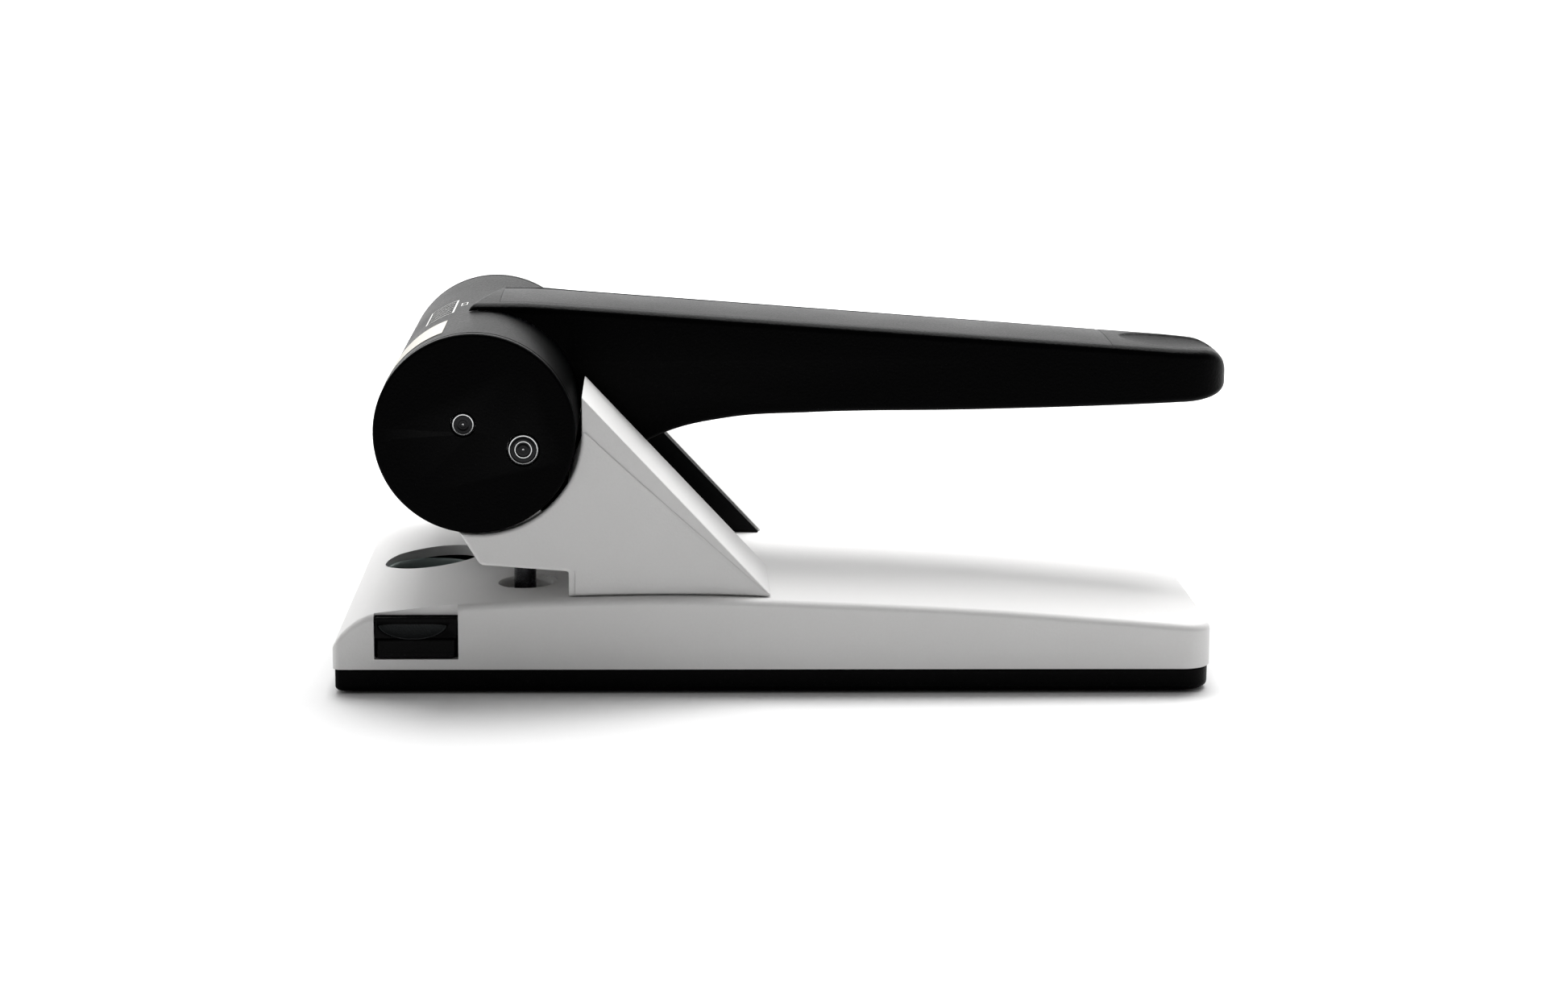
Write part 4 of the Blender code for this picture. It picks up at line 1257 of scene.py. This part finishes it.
@dataclass
class PaperGuide:
    """The pull-out guide: bar with its size marks, end block and thumb catch."""

    scoop: tuple[float, float, float] = (9.1, 2.6, 4.1)
    scoop_top: float = 18.7

    def build(self) -> None:
        """Makes the guide's pieces."""
        low, high = cad("guide_thumb_catch")
        scoop = ((low[0] + high[0]) / 2 - 0.9, low[1])
        catch, end = cad_block("guide_thumb_catch", 0.45), cad_block("guide_end_block", 0.45)
        piece("thumb_catch", catch, BLACK, "paper_guide", ["guide_thumb_catch"], [self.scoop_skin(*scoop)])
        # Painted light: the grip lining is paler than the catch to show the lit scoop; its texture is real.
        piece("thumb_grip_painted_light", self.grip_skin(*scoop), GRIP_WITH_PAINTED_LIGHT, "paper_guide")
        piece("end_block", end, BLACK, "paper_guide", ["guide_end_block"])
        low, high = cad("guide_bar")
        piece("bar", cad_block("guide_bar", 0.3), BLACK, "paper_guide", ["guide_bar"])
        start, ink = low[0] + 1.5, (high[2] + 0.01, high[2] + 0.07)
        marks = [block((start, start + (4.0 if number % 3 else 7.0)), (y, y + 0.5), ink, 0.01)
                 for number, y in enumerate(np.arange(low[1] + 20, high[1] - 4, 7.0))]
        piece("size_marks", reduce(Skin.joined, marks), INK, "paper_guide")

    def grip_skin(self, x: float, face: float) -> Skin:
        """A thin textured skin that lines the scoop, its paler colour painted light: the scoop's own surface at two
        slightly smaller sizes.

        Args:
            x: middle of the scoop.
            face: y of the catch's outer face.

        Returns:
            The closed skin.
        """
        t = np.linspace(0.06 * np.pi, 0.94 * np.pi, 40)[:, None]
        p = np.linspace(0.12, 0.46 * np.pi, 14)[None]
        p = np.concatenate([p, p[:, ::-1]], 1)
        size = np.concatenate([np.full((1, 14), 0.995), np.full((1, 14), 0.955)], 1)
        return capped(self.scoop_points(x, face, t, p, size))

    def scoop_skin(self, x: float, face: float) -> Skin:
        """The lower half of an ellipsoid, flat on top, that is cut into the catch's face.

        Args:
            x: middle of the scoop.
            face: y of the catch's outer face.

        Returns:
            The closed skin.
        """
        turns, rows = 64, 17
        t = np.linspace(0, 2 * np.pi, turns, endpoint=False)[:, None]
        p = np.linspace(0, np.pi / 2, rows)[None]
        skin = grid(self.scoop_points(x, face, t, p), wrap_rows=True)
        skin.faces += [[i * rows + rows - 1 for i in range(turns)]]
        return skin

    def scoop_points(self, x: float, face: float, t: Array, p: Array, size: float | Array = 1.0) -> Array:
        """Points (a cos t sin p, b sin t sin p, -c cos p) of the scoop, moved to the middle of its flat top.

        Args:
            x: middle of the scoop.
            face: y of the catch's outer face.
            t: turns round the upright axis.
            p: angles from straight down, up to a right angle.
            size: scale of the ellipsoid.

        Returns:
            (turns, angles, 3) points.
        """
        a, b, c = self.scoop
        return np.stack([x + size * a * np.cos(t) * np.sin(p), face + size * b * np.sin(t) * np.sin(p),
                         self.scoop_top - size * c * np.cos(p) + 0 * t], axis=-1)


@dataclass
class Tray:
    """The black chip tray with its four rubber pads."""

    edge: float = 1.5
    wall: float = 2.2
    floor: float = 2.1

    def build(self) -> None:
        """Makes the tray and the pads."""
        low, high = cad("chip_tray")
        half = high[1]
        outer = plan_loop(low[0], high[0], half, 1.6, 7.5)
        w = self.wall
        inner = plan_loop(low[0] + w, high[0] - w, half - w, 0.8, 7.5 - w)
        a = np.linspace(0, np.pi / 2, 7)
        roll_in, roll_up = self.edge * (1 - np.sin(a)), self.edge * (1 - np.cos(a))
        to_middle = np.linspace(1, 0.05, 8)
        floor_rings = towards_spine(outer, half, to_middle)
        rolled = towards_spine(outer, half, roll_in / half)
        lip = towards_spine(outer, half, np.array([0.0, 0.3 / half]))
        pocket = towards_spine(inner, half - w, np.concatenate([[0, 0], np.linspace(0.05, 1, 8)]))
        plan = np.concatenate([floor_rings, rolled, lip, pocket])
        z = np.concatenate([np.full(8, low[2]), low[2] + roll_up, [high[2] - 0.3, high[2]], [high[2], self.floor],
                            np.full(8, self.floor)])
        points = np.concatenate([plan, np.broadcast_to(z[:, None, None], (*plan.shape[:2], 1))], axis=-1)
        seats = [upright(f"rubber_pad_{number}")[2:] for number in range(1, 5)]
        tools = [rod(radius + GAP, -2, 1.3, spot) for spot, radius in seats]
        piece("chip_tray_shell", grid(points, wrap_columns=True), BLACK, "tray", ["chip_tray"], tools)
        for number, (spot, radius) in enumerate(seats, 1):
            profile = [(0, 0.0), (radius - 0.5, 0.0), (radius - 0.15, 0.12), (radius, 0.4), (radius, 1.0), (0, 1.0)]
            piece(f"pad_{number}", lathe(profile, spot, "Z", 64), RUBBER, "tray", [f"rubber_pad_{number}"])


# ---------------------------------------------------------------- studio


@dataclass
class Studio:
    """White floor, soft light and the camera."""

    eye: tuple[float, float, float] = (-36.1, -842.1, 207.4)
    yaw: float = 2.38
    pitch: float = -11.19
    roll: float = 0.53
    lens: float = 71.1
    front_glow: float = 0.12
    back_glow: float = 1.05
    low_back_glow: float = 0.8

    def build(self) -> None:
        """Makes the stage."""
        self.floor()
        self.world()
        self.softbox("top_softbox", (0.1, 0.5, 1.3), (0.0, 0.0, 0.0), (1.1, 0.8), 22.0)
        self.softbox("back_softbox", (0.2, 1.35, 1.05), (0.0, 0.0, 0.05), (2.4, 0.5), 15.0)
        camera = put("camera", bpy.data.cameras.new("camera"))
        camera.location = Vector(self.eye) * MM
        aim = Euler((np.radians(90 + self.pitch), 0.0, np.radians(-self.yaw))).to_matrix()
        camera.rotation_euler = (aim @ Matrix.Rotation(np.radians(self.roll), 3, "Z")).to_euler()
        camera.data.lens = self.lens
        camera.data.sensor_width = 36.0
        camera.data.clip_end = 50.0
        bpy.context.scene.camera = camera
        bpy.context.scene.view_settings.view_transform = "Standard"

    def floor(self) -> None:
        """A wide pale floor."""
        side, back = 3.0, 1.2
        mesh = bpy.data.meshes.new("floor")
        mesh.from_pydata([(-side, -side, 0), (side, -side, 0), (side, back, 0), (-side, back, 0)], [], [(0, 1, 2, 3)])
        item = put("floor", mesh)
        pale = Finish("floor_paper", Surface.PAPER, (0.9, 0.9, 0.9), 0.9, 0.0, grain=2.0, depth=0.0, mottle=0.005)
        mesh.materials.append(pale.material())

    def world(self) -> None:
        """A white surround, bright behind the punch and dim in front of it."""
        world = bpy.data.worlds.new("studio")
        world.use_nodes = True
        graph = Graph(world.node_tree)
        direction = graph.add("TexCoord").outputs["Generated"]
        depth = graph.add("SeparateXYZ", {"Vector": direction}).outputs["Y"]
        fade = graph.map(depth, (-0.6, 0.7), (self.front_glow, self.back_glow), smooth=True)
        lobe = graph.map(depth, (0.78, 0.96), (0.0, self.low_back_glow), smooth=True)
        total = graph.add("Math", {0: fade, 1: lobe}, operation="ADD").outputs["Value"]
        graph.feed(graph.tree.nodes["Background"], {"Strength": total, "Color": (1, 1, 1, 1)})
        bpy.context.scene.world = world

    def softbox(self, name: str, place: Sequence[float], aim: Sequence[float], size: Sequence[float],
                power: float) -> None:
        """A rectangular soft light, in metres and watts.

        Args:
            name: its name.
            place: where it hangs.
            aim: what it points at.
            size: width and height.
            power: its power.
        """
        light = bpy.data.lights.new(name, "AREA")
        light.shape = "RECTANGLE"
        light.size, light.size_y = size
        light.energy = power
        item = put(name, light)
        item.location = place
        item.rotation_euler = (Vector(aim) - Vector(place)).to_track_quat("-Z", "Y").to_euler()


def main() -> None:
    """Builds the punch piece by piece and then the studio round it."""
    logging.basicConfig(level=logging.INFO, format="%(name)s: %(message)s")
    base = Base()
    base.build()
    Towers().build(base)
    hub = Hub()
    hub.build()
    Handle().build(hub)
    PaperGuide().build()
    Tray().build()
    Studio().build()


if __name__ == "__main__":
    main()
